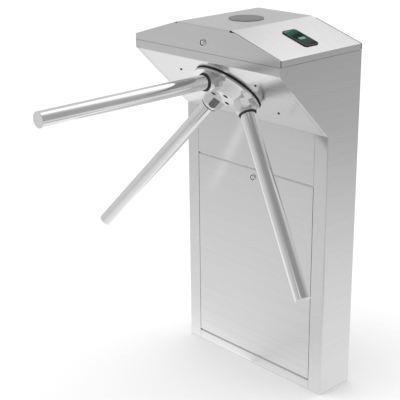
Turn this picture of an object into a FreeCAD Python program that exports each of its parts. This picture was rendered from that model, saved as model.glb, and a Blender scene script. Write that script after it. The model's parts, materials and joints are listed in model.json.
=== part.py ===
import FreeCAD
import Part
import math
import os
from FreeCAD import Placement, Rotation, Vector

# Tripod turnstile: sheet-metal column with an overhanging head, a three-arm rotor on the sloping front,
# a hinged lid, a drop-down service door and the locking mechanism inside. All sizes are in millimetres.
# Frame: origin on the floor under the column's centre, +X to the right seen from the front, +Y to the rear, +Z up.

# Driving dimensions of the cabinet
WIDTH = 506.0
COLUMN_DEPTH = 116.0
OVERHANG = 178.0
SLANT_FOOT_Z = 716.0
SLANT_ANGLE = 45.0
FRONT_LIP = 21.0
LID_LIP = 16.0
LID_RISE = 49.0
PLATEAU_WIDTH = 188.0
SHEET = 1.5
BEND = 2.5
POST_WIDTH = 42.5
SLANT_FLANGE = 12.0
TOP_FLANGE = 12.0
RETURN_DEPTH = 12.0
WELD_GAP = 0.2
PANEL_GAP = 0.6
LID_GAP = 0.7
LID_CORNER_GAP = 2.6
LID_RELIEF = 2.5
RAIL_HEIGHT = 28.0
DOOR_OPENING = 552.5
DOOR_GAP = 1.5
DOOR_BEND = 5.0
DOOR_PIN_RADIUS = 2.0
DOOR_PIN_HEAD = 3.5
DOOR_PIN_INSET = 6.0
DOOR_TAB = 2.0
DOOR_TAB_REACH = 9.0
DOOR_STOP_GAP = 4.0
FLANGE_END_GAP = 2.0
SLANT_TUCK = 5.0
RUNNING_GAP = 0.08
FIT_GAP = 0.05
HOLE_GAP = 0.1

# Driving dimensions of the floor fixing
BASE_THICKNESS = 6.0
ANCHOR_SPACING_X = 340.0
ANCHOR_SPACING_Y = 60.0
ANCHOR_RADIUS = 7.0
CABLE_X = 110.0
CABLE_RADIUS = 17.0
GROMMET_WALL = 4.0
GROMMET_COLLAR = 3.0
GROMMET_LIFT = 0.5

# Driving dimensions of the rotor and its arms
HUB_UP_SLOPE = 134.0
APEX_DEPTH = 44.0
ARM_RADIUS = 19.0
ARM_WALL = 2.0
ARM_TIP = 601.0
ARM_CAP = 4.0
ARM_CAP_SPIGOT = 10.0
ARM_SPIGOT_RADIUS = 9.5
ARM_PLUG = 8.0
BOSS_SIDES = 8
BOSS_ACROSS = 52.5
BOSS_END = 112.5
BOSS_START = 30.0
BOSS_ROUNDING = 2.0
BOSS_TAPER = 14.0
BOSS_END_RADIUS = 22.0
GASKET = 2.0
GASKET_PROUD = 0.5
ARM_SOCKET = 18.0
DISC_RADIUS = 94.5
DISC_THICKNESS = 5.0
SEAL_HEIGHT = 3.0
SEAL_WIDTH = 23.0
SEAL_GAP = 0.5
SEAL_INSET = 1.5
RIM_ROUNDING = 0.8
CAP_ROUNDING = 1.0
NOSE_HEIGHT = 18.5
NOSE_RADIUS = 37.0
NOSE_FOOT_RADIUS = 62.0
HUB_BOLT_CIRCLE = 24.6
HUB_BOLT_HEAD = 6.5
HUB_BOLT_HEAD_HEIGHT = 8.0
HUB_BOLT_SHANK = 4.0
HUB_BOLT_SOCKET = 6.0
HUB_BOLT_SINK = 1.0
HUB_BOLT_HEAD_GAP = 0.5
HUB_BOLT_TAIL = 2.0

# Driving dimensions of the head mechanism
SCREW_SPACING_X = 263.0
SCREW_SPACING_U = 119.0
SCREW_SHANK = 2.5
SCREW_HEAD = 3.6
SCREW_HEAD_HEIGHT = 1.8
SCREW_HEAD_TAPER = 1.2
SCREW_SOCKET = 3.0
SCREW_SOCKET_DEPTH = 1.0
SCREW_NUT = 8.0
SCREW_NUT_HEIGHT = 4.0
SCREW_TAIL = 2.0
PLATE_MARGIN_X = 18.0
PLATE_MARGIN_U = 16.0
PLATE_THICKNESS = 6.0
REAR_PLATE_THICKNESS = 5.0
SHAFT_RADIUS = 15.0
SHAFT_TAIL_RADIUS = 12.5
FLANGE_RADIUS = 40.0
FLANGE_THICKNESS = 8.5
FLANGE_CLEARANCE = 6.0
SHAFT_COLLAR = 3.0
SHAFT_END = 2.0
SHAFT_CLEARANCE = 6.0
BEARING_RADIUS = 31.0
BEARING_WIDTH = 16.0
BEARING_SPACING = 32.0
BALL_RADIUS = 4.5
BALL_COUNT = 9
BALL_GAP = 0.1
BEARING_RING = 5.0
BEARING_LIP = 3.0
BEARING_INSET = 2.0
HOUSING_RADIUS = 42.0
HOUSING_LENGTH = 54.5
HOUSING_FLANGE = 16.0
HOUSING_FLANGE_THICKNESS = 8.0
STACK_GAP = 4.0
LOCK_RADIUS = 46.0
LOCK_THICKNESS = 7.0
LOCK_NOTCHES = 12
NOTCH_WIDTH = 12.0
NOTCH_DEPTH = 8.0
GEAR_MODULE = 2.0
GEAR_TEETH = 48
PINION_TEETH = 16
GEAR_WIDTH = 10.0
PRESSURE_ANGLE = 25.0
BACKLASH = 0.3
ENCODER_RADIUS = 35.0
ENCODER_SLOTS = 12
ENCODER_SLOT = 6.0
ENCODER_RIM = 3.0
ENCODER_GAP = 5.0
ENCODER_THICKNESS = 1.5
NUT_ACROSS = 36.0
NUT_HEIGHT = 10.0
PIVOT_RADIUS = 4.0
PIVOT_END = 2.0
PAWL_PIVOT_X = 58.0
PAWL_PIVOT_U = -40.0
PAWL_TAIL = 26.0
PAWL_THICKNESS = 6.0
PAWL_WIDTH = 10.0
PAWL_HUB_RADIUS = 8.5
PAWL_NOSE = 7.0
PAWL_NOSE_GAP = 0.4
PAWL_REST_GAP = 1.0
PAWL_TAIL_END = 4.0
PAWL_PIN_RADIUS = 2.5
PAWL_PIN_LENGTH = 6.0
PLUNGER_RADIUS = 5.0
PLUNGER_STEP = 2.5
PLUNGER_BLADE = 3.0
PLUNGER_BLADE_END = 6.0
PLUNGER_BLADE_REACH = 14.0
PLUNGER_SLOT_GAP = 0.2
PLUNGER_SLOT_TRAVEL = 0.7
PLUNGER_STROKE_ROOM = 8.0
SOLENOID_START = 84.0
SOLENOID_LENGTH = 40.0
SOLENOID_WIDTH = 28.0
SOLENOID_DEPTH = 13.0
SOLENOID_END = 6.0
SOLENOID_MARGIN_X = 10.0
SOLENOID_MARGIN_U = 2.0
DAMPER_RADIUS = 18.0
DAMPER_LENGTH = 32.0
DAMPER_END = 6.0
DAMPER_SHAFT_GAP = 2.0
DAMPER_MARGIN = 4.0
CRANK_THROW = 12.0
CRANK_PIN_RADIUS = 2.5
CRANK_RIM = 5.0
CRANK_DISC = 2.5
CRANK_NECK = 0.5
CRANK_NECK_RADIUS = 9.0
SPRING_POST_U = -130.0
SPRING_POST_RADIUS = 3.0
SPRING_TAB_HALF = 12.0
SPRING_TAB_END = 10.0
SPRING_LIFT = 6.0
SPRING_PIN_END = 3.0
SPRING_EYE_GAP = 0.3
SPRING_RADIUS = 5.0
SPRING_WIRE = 0.8
SPRING_TURNS = 10
SPRING_PITCH = 3.0
SENSOR_BOARD_X = (14.0, 68.0)
SENSOR_BOARD_U = (10.0, 60.0)
SENSOR_BOARD_GAP = 5.5
SENSOR_POSTS = ((54.0, 52.0), (62.0, 22.0))
SENSOR_POST_RADIUS = 3.0
SENSOR_EYE = (16.0, 26.0)
SENSOR_EYE_GAP = 1.2
SENSOR_PLUG_X = (44.0, 58.0)
SENSOR_PLUG_U = (30.0, 42.0)
SENSOR_PLUG_HEIGHT = 7.4
BOARD_THICKNESS = 1.6

# Driving dimensions of the lid fittings, the locks and the electronics
PAD_RADIUS = 44.5
PAD_HEIGHT = 1.5
PAD_Y = -86.0
PAD_ROUNDING = 0.6
PAD_SHOULDER = 4.0
PAD_SPIGOT = 4.0
READER_LENGTH = 84.0
READER_WIDTH = 50.0
READER_CORNER = 9.0
READER_PAST_MIDDLE = 6.5
READER_Y = -86.5
READER_HEIGHT = 2.5
READER_BODY_DEPTH = 16.0
READER_ROUNDING = 1.0
READER_RIM = 3.0
READER_SHOULDER = 5.0
READER_GAP = 0.2
WINDOW_THICKNESS = 0.9
WINDOW_SINK = 0.1
SENSOR_LENGTH = 10.0
SENSOR_WIDTH = 22.0
SENSOR_CORNER = 2.5
SENSOR_DOWN = 5.5
SENSOR_LIFT = 0.4
SENSOR_ROUNDING = 0.5
LID_LOCK_UP = 25.0
DOOR_LOCK_DOWN = 26.0
LOCK_FACE_RADIUS = 10.0
LOCK_BARREL_RADIUS = 8.0
LOCK_PLUG_RADIUS = 5.0
LOCK_LENGTH = 20.0
LOCK_FACE_HEIGHT = 2.0
LOCK_NUT_ACROSS = 22.0
LOCK_NUT_HEIGHT = 4.0
KEY_SLOT_WIDTH = 1.4
KEY_SLOT_LENGTH = 6.0
KEY_SLOT_DEPTH = 3.0
CAM_LENGTH = 30.0
CAM_WIDTH = 14.0
CAM_THICKNESS = 2.0
CAM_GAP = 0.5
CAM_SCREW_RADIUS = 3.0
CATCH_SIDE_GAP = 11.0
CATCH_WIDTH = 18.0
CATCH_THICKNESS = 2.0
CATCH_INSET = 4.0
CATCH_LIFT = 1.0
CATCH_REACH = 6.0
HINGE_X = 150.0
HINGE_LENGTH = 60.0
HINGE_LEAF = 1.2
HINGE_HEIGHT = 20.0
HINGE_KNUCKLE = 3.5
HINGE_PIN_RADIUS = 1.5
HINGE_END_GAP = 0.3
HINGE_RELIEF = 0.4
SUPPLY_SIZE = (110.0, 38.0, 150.0)
SUPPLY_X = -90.0
TERMINAL_HEIGHT = 14.0
TERMINAL_MARGIN = 6.0
BOARD_SIZE = (150.0, BOARD_THICKNESS, 140.0)
BOARD_X = 95.0
BOARD_STANDOFF = 10.0
STANDOFF_RADIUS = 4.0
STANDOFF_INSET = 8.0
RELAY_SIZE = (18.0, 15.0, 16.0)
RELAY_STARTS = (-60.0, -34.0, -8.0)
RELAY_Z = 20.0
PROCESSOR_SIZE = (34.0, 4.0, 34.0)
PROCESSOR_START = (-20.0, 60.0)
PLUG_SIZE = (18.0, 7.0, 16.0)
PLUG_INSET = 4.0
ELECTRONICS_Z = 385.0
HARNESS_RADIUS = 4.0
HARNESS_BEND = 40.0
HARNESS_GAP = 4.0

# Derived cabinet positions
HALF = WIDTH / 2
FRONT_Y = -COLUMN_DEPTH / 2
BACK_Y = COLUMN_DEPTH / 2
HEAD_Y = FRONT_Y - OVERHANG
SLOPE = math.radians(SLANT_ANGLE)
SLANT_LENGTH = OVERHANG / math.cos(SLOPE)
LIP_Z = SLANT_FOOT_Z + OVERHANG * math.tan(SLOPE)
SEAM_Z = LIP_Z + FRONT_LIP
LID_FOOT_Z = SEAM_Z + LID_GAP
EAVE_Z = SEAM_Z + LID_LIP
HEIGHT = EAVE_Z + LID_RISE
PLATEAU_HALF = PLATEAU_WIDTH / 2
ROOF_ANGLE = math.atan2(LID_RISE, HALF - PLATEAU_HALF)
ROOF_LENGTH = math.hypot(LID_RISE, HALF - PLATEAU_HALF)
READER_DOWN_SLOPE = ROOF_LENGTH / 2 + READER_PAST_MIDDLE
INNER_HALF = HALF - SHEET - WELD_GAP
POST_EDGE = HALF - POST_WIDTH
DOOR_TOP = RAIL_HEIGHT + DOOR_OPENING
DOOR_HALF = POST_EDGE - DOOR_GAP
DOOR_Z0 = RAIL_HEIGHT + DOOR_GAP
DOOR_Z1 = DOOR_TOP - DOOR_GAP
DOOR_AXIS_Y = FRONT_Y + DOOR_BEND
DOOR_AXIS_Z = DOOR_Z0 + DOOR_BEND
LID_LOCK_Z = SEAM_Z + LID_LOCK_UP
DOOR_LOCK_Z = DOOR_TOP - DOOR_LOCK_DOWN
HINGE_AXIS_Y = BACK_Y + HINGE_KNUCKLE
HINGE_AXIS_Z = SEAM_Z

# Derived head positions: local X is across, local Y up the slope, local Z out of the slope, zero on its face
HEAD_FRAME = Placement(
    Vector(0, FRONT_Y - HUB_UP_SLOPE * math.cos(SLOPE), SLANT_FOOT_Z + HUB_UP_SLOPE * math.sin(SLOPE)),
    Rotation(Vector(1, 0, 0), 180 - SLANT_ANGLE))
ROOF_FRAME = Placement(Vector(PLATEAU_HALF, 0, HEIGHT), Rotation(Vector(0, 1, 0), math.degrees(ROOF_ANGLE)))
ARM_TILT = 90 - SLANT_ANGLE
ARM_ANGLES = (0, 120, -120)
SLANT_MIDDLE = SLANT_LENGTH / 2 - HUB_UP_SLOPE
DISC_BACK = SEAL_HEIGHT + SEAL_GAP
DISC_FRONT = DISC_BACK + DISC_THICKNESS
NOSE_FACE = DISC_FRONT + NOSE_HEIGHT
FLANGE_BACK = DISC_BACK - FLANGE_THICKNESS
FRONT_PLATE_BACK = -SHEET - PLATE_THICKNESS
HOUSING_BACK = FRONT_PLATE_BACK - HOUSING_LENGTH
REAR_PLATE_BACK = HOUSING_BACK - REAR_PLATE_THICKNESS
REAR_BEARING_FRONT = HOUSING_BACK + BEARING_INSET + BEARING_WIDTH
FRONT_BEARING_FRONT = REAR_BEARING_FRONT + BEARING_SPACING
LOCK_FRONT = REAR_PLATE_BACK - STACK_GAP
LOCK_BACK = LOCK_FRONT - LOCK_THICKNESS
GEAR_FRONT = LOCK_BACK - STACK_GAP
GEAR_BACK = GEAR_FRONT - GEAR_WIDTH
ENCODER_FRONT = GEAR_BACK - ENCODER_GAP
ENCODER_BACK = ENCODER_FRONT - ENCODER_THICKNESS
NUT_FRONT = ENCODER_BACK - ENCODER_THICKNESS
NUT_BACK = NUT_FRONT - NUT_HEIGHT
PINION_DISTANCE = GEAR_MODULE * (GEAR_TEETH + PINION_TEETH) / 2
PAWL_FRONT = LOCK_FRONT - (LOCK_THICKNESS - PAWL_THICKNESS) / 2
PAWL_BACK = PAWL_FRONT - PAWL_THICKNESS
PLUNGER_U = PAWL_PIVOT_U - PAWL_TAIL
PLUNGER_N = PAWL_BACK - PLUNGER_STEP
CRANK_DISC_FRONT = GEAR_BACK - CRANK_NECK
CRANK_DISC_BACK = CRANK_DISC_FRONT - CRANK_DISC
SPRING_N = CRANK_DISC_BACK - SPRING_LIFT
PIN_END = SPRING_N - SPRING_PIN_END
SENSOR_BOARD_FRONT = ENCODER_BACK - SENSOR_BOARD_GAP
SENSOR_BOARD_BACK = SENSOR_BOARD_FRONT - BOARD_THICKNESS


def box(x0, x1, y0, y1, z0, z1):
    return Part.makeBox(x1 - x0, y1 - y0, z1 - z0, Vector(x0, y0, z0))


def rod(radius, z0, z1, x=0.0, y=0.0):
    return Part.makeCylinder(radius, abs(z1 - z0), Vector(x, y, min(z0, z1)))


def rod_x(radius, x0, x1, y, z):
    return Part.makeCylinder(radius, x1 - x0, Vector(x0, y, z), Vector(1, 0, 0))


def rod_y(radius, y0, y1, x, z):
    return Part.makeCylinder(radius, y1 - y0, Vector(x, y0, z), Vector(0, 1, 0))


def ring(outer, inner, z0, z1, x=0.0, y=0.0):
    return rod(outer, z0, z1, x, y).cut(rod(inner, z0, z1, x, y))


def prism(points, direction):
    wire = Part.makePolygon(points + points[:1])
    return Part.Face(wire).extrude(direction)


def polygon(sides, across, z0, z1, x=0.0, y=0.0):
    step = 2 * math.pi / sides
    radius = across / 2 / math.cos(step / 2)
    angles = [math.pi / 2 + (k + 0.5) * step for k in range(sides)]
    points = [Vector(x + radius * math.cos(a), y + radius * math.sin(a), z0) for a in angles]
    return prism(points, Vector(0, 0, z1 - z0))


def hexagon(across, z0, z1, x=0.0, y=0.0):
    return polygon(6, across, z0, z1, x, y)


def rounded_box(length, width, corner, z0, z1, x, y):
    block = box(x - length / 2, x + length / 2, y - width / 2, y + width / 2, z0, z1)
    upright = [e for e in block.Edges if abs(e.Vertexes[0].Z - e.Vertexes[1].Z) > (z1 - z0) / 2]
    return block.makeFillet(corner, upright)


def fuse_all(shapes):
    return shapes[0].multiFuse(shapes[1:]).removeSplitter()


def mirrored(shape):
    return shape.mirror(Vector(0, 0, 0), Vector(1, 0, 0))


def placed(shape, frame):
    copy = shape.copy()
    copy.Placement = frame.multiply(copy.Placement)
    return copy


def save(name, *shapes):
    solids = [s for shape in shapes for s in shape.Solids]
    whole = solids[0] if len(solids) == 1 else Part.makeCompound(solids)
    whole.exportStep("parts/" + name + ".step")
    print(name, len(solids), round(whole.Volume), all(s.isValid() for s in solids))


def save_head(name, *shapes):
    save(name, *[placed(shape, HEAD_FRAME) for shape in shapes])


# A folded sheet: the outer line of its section, with the material on the left of the way it runs
def folded_section(points, radii, to_space):
    corners = [Vector(a, b, 0) for a, b in points]
    runs = [(q - p).normalize() for p, q in zip(corners, corners[1:])]
    lefts = [Vector(-d.y, d.x, 0) for d in runs]
    outer = []
    inner = []
    start = corners[0]
    for i, radius in enumerate(radii):
        corner = corners[i + 1]
        turn = runs[i].cross(runs[i + 1]).z
        side = 1 if turn > 0 else -1
        on_line = radius if turn > 0 else radius - SHEET
        off_line = radius - SHEET if turn > 0 else radius
        reach = on_line * math.tan(runs[i].getAngle(runs[i + 1]) / 2)
        first = corner - runs[i] * reach
        last = corner + runs[i + 1] * reach
        centre = first + lefts[i] * (side * on_line)
        middle = (corner - centre).normalize()
        outer.append(Part.LineSegment(to_space(start), to_space(first)))
        outer.append(Part.Arc(to_space(first), to_space(centre + middle * on_line), to_space(last)))
        inner.append(Part.LineSegment(to_space(start + lefts[i] * SHEET), to_space(first + lefts[i] * SHEET)))
        inner.append(Part.Arc(to_space(first + lefts[i] * SHEET), to_space(centre + middle * off_line),
                              to_space(last + lefts[i + 1] * SHEET)))
        start = last
    end = corners[-1]
    outer.append(Part.LineSegment(to_space(start), to_space(end)))
    inner.append(Part.LineSegment(to_space(start + lefts[-1] * SHEET), to_space(end + lefts[-1] * SHEET)))
    first_cap = Part.LineSegment(to_space(corners[0]), to_space(corners[0] + lefts[0] * SHEET))
    last_cap = Part.LineSegment(to_space(end), to_space(end + lefts[-1] * SHEET))
    edges = [c.toShape() for c in outer + inner + [first_cap, last_cap]]
    return Part.Face(Part.Wire(Part.__sortEdges__(edges)))


def fold_along_x(points, radii, x0, x1):
    section = folded_section(points, radii, lambda p: Vector(x0, p.x, p.y))
    return section.extrude(Vector(x1 - x0, 0, 0))


def fold_along_y(points, radii, y0, y1):
    section = folded_section(points, radii, lambda p: Vector(p.x, y0, p.y))
    return section.extrude(Vector(0, y1 - y0, 0))


def fold_along_z(points, radii, z0, z1):
    section = folded_section(points, radii, lambda p: Vector(p.x, p.y, z0))
    return section.extrude(Vector(0, 0, z1 - z0))


# Cabinet panels
def base_plate():
    plate = box(-INNER_HALF, INNER_HALF, FRONT_Y + BEND, BACK_Y - SHEET, 0, BASE_THICKNESS)
    for x in (-ANCHOR_SPACING_X / 2, ANCHOR_SPACING_X / 2):
        for y in (-ANCHOR_SPACING_Y / 2, ANCHOR_SPACING_Y / 2):
            plate = plate.cut(rod(ANCHOR_RADIUS, 0, BASE_THICKNESS, x, y))
    return plate.cut(rod(CABLE_RADIUS + GROMMET_WALL + FIT_GAP, 0, BASE_THICKNESS, CABLE_X, 0))


def cable_grommet():
    top = BASE_THICKNESS + GROMMET_COLLAR
    sleeve = rod(CABLE_RADIUS + GROMMET_WALL, GROMMET_LIFT, BASE_THICKNESS, CABLE_X, 0)
    collar = rod(CABLE_RADIUS + 2 * GROMMET_WALL, BASE_THICKNESS, top, CABLE_X, 0)
    return sleeve.fuse(collar).cut(rod(CABLE_RADIUS, 0, top, CABLE_X, 0))


def right_side_panel():
    post = fold_along_z([(POST_EDGE, FRONT_Y), (HALF, FRONT_Y), (HALF, BACK_Y)], [BEND], 0, SLANT_FOOT_Z)
    outline = [(BACK_Y, SLANT_FOOT_Z), (BACK_Y, SEAM_Z), (HEAD_Y, SEAM_Z), (HEAD_Y, LIP_Z), (FRONT_Y, SLANT_FOOT_Z)]
    head = prism([Vector(HALF - SHEET, y, z) for y, z in outline], Vector(SHEET, 0, 0))
    rise = SHEET / math.cos(SLOPE)
    strip = [(FRONT_Y, SLANT_FOOT_Z), (HEAD_Y, LIP_Z), (HEAD_Y, LIP_Z + rise),
             (FRONT_Y + SHEET, SLANT_FOOT_Z + rise - SHEET * math.tan(SLOPE)), (FRONT_Y + SHEET, SLANT_FOOT_Z)]
    flange = prism([Vector(HALF - SLANT_FLANGE, y, z) for y, z in strip], Vector(SLANT_FLANGE - SHEET / 2, 0, 0))
    top = box(HALF - TOP_FLANGE, HALF - SHEET / 2, HEAD_Y + RETURN_DEPTH + FLANGE_END_GAP, BACK_Y - 2 * RETURN_DEPTH,
              SEAM_Z - SHEET, SEAM_Z)
    tab_x = POST_EDGE + DOOR_GAP
    tab = box(tab_x, tab_x + DOOR_TAB, FRONT_Y + SHEET / 2, FRONT_Y + RETURN_DEPTH,
              DOOR_AXIS_Z - DOOR_TAB_REACH, DOOR_AXIS_Z + DOOR_TAB_REACH)
    tab = tab.cut(rod_x(DOOR_PIN_RADIUS + RUNNING_GAP, tab_x, tab_x + DOOR_TAB, DOOR_AXIS_Y, DOOR_AXIS_Z))
    return fuse_all([post, head, flange, top, tab])


def back_panel():
    depth = BACK_Y - RETURN_DEPTH
    line = [(INNER_HALF, depth), (INNER_HALF, BACK_Y), (-INNER_HALF, BACK_Y), (-INNER_HALF, depth)]
    return fold_along_z(line, [BEND, BEND], BASE_THICKNESS + PANEL_GAP, SEAM_Z)


def front_upper_panel():
    stop_y = FRONT_Y + RETURN_DEPTH + DOOR_STOP_GAP
    line = [(FRONT_Y, SLANT_FOOT_Z - WELD_GAP), (FRONT_Y, DOOR_TOP), (stop_y, DOOR_TOP),
            (stop_y, DOOR_TOP - RETURN_DEPTH)]
    return fold_along_x(line, [BEND, BEND], PANEL_GAP - POST_EDGE, POST_EDGE - PANEL_GAP)


def bottom_rail():
    line = [(FRONT_Y + 2 * RETURN_DEPTH, RAIL_HEIGHT), (FRONT_Y, RAIL_HEIGHT), (FRONT_Y, 0)]
    rail = fold_along_x(line, [BEND], PANEL_GAP - POST_EDGE, POST_EDGE - PANEL_GAP)
    foot = box(-POST_EDGE / 2, POST_EDGE / 2, FRONT_Y + SHEET / 2, FRONT_Y + RETURN_DEPTH,
               BASE_THICKNESS, BASE_THICKNESS + SHEET)
    return fuse_all([rail, foot])


def slant_panel():
    slant_half = HALF - SLANT_FLANGE - PANEL_GAP
    foot = (FRONT_Y + SLANT_TUCK * math.cos(SLOPE), SLANT_FOOT_Z - SLANT_TUCK * math.sin(SLOPE))
    knee = (HEAD_Y, LIP_Z)
    crown = (HEAD_Y, SEAM_Z)
    shelf = (HEAD_Y + RETURN_DEPTH, SEAM_Z)
    slope = fold_along_x([crown, knee, foot], [BEND], -slant_half, slant_half)
    slope = slope.cut(box(-HALF, HALF, FRONT_Y, BACK_Y, 0, SEAM_Z))
    lip = fold_along_x([shelf, crown, (HEAD_Y, LIP_Z)], [BEND], -INNER_HALF, INNER_HALF)
    for x0, x1 in ((-HALF, -slant_half), (slant_half, HALF)):
        flange_room = box(x0, x1, -SLANT_LENGTH, SLANT_LENGTH, -SHEET - WELD_GAP, SLANT_FLANGE)
        lip = lip.cut(placed(flange_room, HEAD_FRAME))
    lip = lip.cut(box(-slant_half, slant_half, HEAD_Y, HEAD_Y + SHEET, LIP_Z, LIP_Z + FRONT_LIP / 2))
    sheet = fuse_all([slope, lip])
    holes = [rod(FLANGE_RADIUS + FLANGE_CLEARANCE, -SHEET, 0)]
    holes += [rod(SCREW_SHANK + WELD_GAP, -SHEET, 0, x, u) for x, u in screw_places()]
    for hole in holes:
        sheet = sheet.cut(placed(hole, HEAD_FRAME))
    return sheet


def hub_seal_ring():
    outer = DISC_RADIUS - SEAL_INSET
    return ring(outer, outer - SEAL_WIDTH, 0, SEAL_HEIGHT)


def screw_places():
    half_x = SCREW_SPACING_X / 2
    half_u = SCREW_SPACING_U / 2
    return [(x, SLANT_MIDDLE + u) for x in (-half_x, half_x) for u in (-half_u, half_u)]


def panel_screws():
    screws = []
    nut_back = FRONT_PLATE_BACK - SCREW_NUT_HEIGHT
    for x, u in screw_places():
        head = Part.makeCone(SCREW_HEAD, SCREW_HEAD - SCREW_HEAD_TAPER, SCREW_HEAD_HEIGHT, Vector(x, u, 0))
        socket = hexagon(SCREW_SOCKET, SCREW_HEAD_HEIGHT - SCREW_SOCKET_DEPTH, SCREW_HEAD_HEIGHT, x, u)
        shank = rod(SCREW_SHANK, nut_back - SCREW_TAIL, 0, x, u)
        nut = hexagon(SCREW_NUT, nut_back, FRONT_PLATE_BACK, x, u)
        screws.append(head.cut(socket).fuse(shank))
        screws.append(nut.cut(rod(SCREW_SHANK + FIT_GAP, nut_back, FRONT_PLATE_BACK, x, u)))
    return screws


# Door with its locks and pivots
def door_panel():
    back = FRONT_Y + RETURN_DEPTH
    line = [(back, DOOR_Z1), (FRONT_Y, DOOR_Z1), (FRONT_Y, DOOR_Z0), (back, DOOR_Z0)]
    skin = fold_along_x(line, [DOOR_BEND, DOOR_BEND], -DOOR_HALF, DOOR_HALF)
    top_z = DOOR_Z1 - DOOR_BEND
    sides = []
    for x in (-DOOR_HALF, DOOR_HALF - SHEET):
        side = box(x, x + SHEET, FRONT_Y + SHEET / 2, back, DOOR_Z0 + SHEET / 2, DOOR_Z1 - SHEET / 2)
        for z0, centre_z in ((DOOR_Z0, DOOR_AXIS_Z), (top_z, top_z)):
            corner = box(x, x + SHEET, FRONT_Y, DOOR_AXIS_Y, z0, z0 + DOOR_BEND)
            side = side.cut(corner.cut(rod_x(DOOR_BEND, x, x + SHEET, DOOR_AXIS_Y, centre_z)))
        sides.append(side)
    door = fuse_all([skin] + sides)
    door = door.cut(rod_x(DOOR_PIN_RADIUS + FIT_GAP, -DOOR_HALF, DOOR_HALF, DOOR_AXIS_Y, DOOR_AXIS_Z))
    return door.cut(rod_y(LOCK_BARREL_RADIUS + HOLE_GAP, FRONT_Y, FRONT_Y + SHEET, 0, DOOR_LOCK_Z))


def door_pivot_pins():
    outer_end = POST_EDGE + DOOR_GAP + 2 * DOOR_TAB
    inner_end = DOOR_HALF - DOOR_PIN_INSET
    pin = rod_x(DOOR_PIN_RADIUS, inner_end, outer_end, DOOR_AXIS_Y, DOOR_AXIS_Z)
    head = rod_x(DOOR_PIN_HEAD, inner_end, DOOR_HALF - SHEET, DOOR_AXIS_Y, DOOR_AXIS_Z)
    pin = fuse_all([pin, head])
    return [pin, mirrored(pin)]


def lock_barrel(face_y, z):
    front = face_y - LOCK_FACE_HEIGHT
    face = rod_y(LOCK_FACE_RADIUS, front, face_y, 0, z)
    body = rod_y(LOCK_BARREL_RADIUS, face_y, face_y + LOCK_LENGTH, 0, z)
    bore = rod_y(LOCK_PLUG_RADIUS + RUNNING_GAP, front, face_y + LOCK_LENGTH, 0, z)
    nut = hexagon(LOCK_NUT_ACROSS, 0, LOCK_NUT_HEIGHT)
    nut = nut.cut(rod(LOCK_BARREL_RADIUS + FIT_GAP, 0, LOCK_NUT_HEIGHT))
    nut = placed(nut, Placement(Vector(0, face_y + SHEET, z), Rotation(Vector(1, 0, 0), -90)))
    return [face.fuse(body).cut(bore), nut]


def lock_plug(face_y, z, cam_direction):
    front = face_y - LOCK_FACE_HEIGHT
    end = face_y + LOCK_LENGTH + CAM_GAP
    cam_back = end + CAM_THICKNESS
    plug = rod_y(LOCK_PLUG_RADIUS, front, end, 0, z)
    slot = box(-KEY_SLOT_WIDTH / 2, KEY_SLOT_WIDTH / 2, front, front + KEY_SLOT_DEPTH,
               z - KEY_SLOT_LENGTH / 2, z + KEY_SLOT_LENGTH / 2)
    blade = box(-CAM_WIDTH / 2, CAM_WIDTH / 2, end, cam_back, z - CAM_WIDTH / 2, z + CAM_LENGTH)
    blade.rotate(Vector(0, 0, z), Vector(0, 1, 0), cam_direction)
    screw = rod_y(CAM_SCREW_RADIUS, cam_back, cam_back + CAM_THICKNESS, 0, z)
    return [plug.cut(slot), blade, screw]


# Lid with its fittings and hinges
def gable(y):
    drop = SHEET + LID_CORNER_GAP
    right = [(HALF, LID_FOOT_Z), (HALF, EAVE_Z), (PLATEAU_HALF + drop / math.tan(ROOF_ANGLE), HEIGHT - drop)]
    outline = right + [(-x, z) for x, z in reversed(right)]
    plate = prism([Vector(x, y, z) for x, z in outline], Vector(0, SHEET, 0))
    across = [e for e in plate.Edges if e.BoundBox.YLength > SHEET / 2]
    return plate.makeFillet(BEND, [e for e in across if abs(e.CenterOfMass.z - EAVE_Z) < BEND])


def reader_block(inset, z0, z1):
    corner = READER_CORNER - inset * 0.8
    return rounded_box(READER_LENGTH - 2 * inset, READER_WIDTH - 2 * inset, corner, z0, z1, READER_DOWN_SLOPE, READER_Y)


def reader_cutout():
    return placed(reader_block(READER_SHOULDER, -READER_BODY_DEPTH, READER_HEIGHT), ROOF_FRAME)


def lid_shell():
    band_half = PLATEAU_HALF - LID_RELIEF
    right = [(HALF, LID_FOOT_Z), (HALF, EAVE_Z), (PLATEAU_HALF, HEIGHT)]
    line = right + [(-x, z) for x, z in reversed(right)]
    inset = SHEET + LID_CORNER_GAP
    roof = fold_along_y(line, [BEND] * 4, HEAD_Y + inset, BACK_Y - inset)
    for y0, y1 in ((HEAD_Y, HEAD_Y + 2 * BEND), (BACK_Y - 2 * BEND, BACK_Y)):
        roof = roof.cut(box(-band_half, band_half, y0, y1, HEIGHT - 2 * BEND, HEIGHT))
    band_line = [(BACK_Y, LID_FOOT_Z), (BACK_Y, HEIGHT), (HEAD_Y, HEIGHT), (HEAD_Y, LID_FOOT_Z)]
    band = fold_along_x(band_line, [BEND, BEND], -band_half, band_half)
    shell = fuse_all([roof, band, gable(HEAD_Y), gable(BACK_Y - SHEET)])
    shell = shell.cut(rod_y(LOCK_BARREL_RADIUS + HOLE_GAP, HEAD_Y, HEAD_Y + SHEET, 0, LID_LOCK_Z))
    shell = shell.cut(rod(PAD_RADIUS - PAD_SHOULDER, HEIGHT - SHEET, HEIGHT, 0, PAD_Y))
    return shell.cut(reader_cutout())


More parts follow.
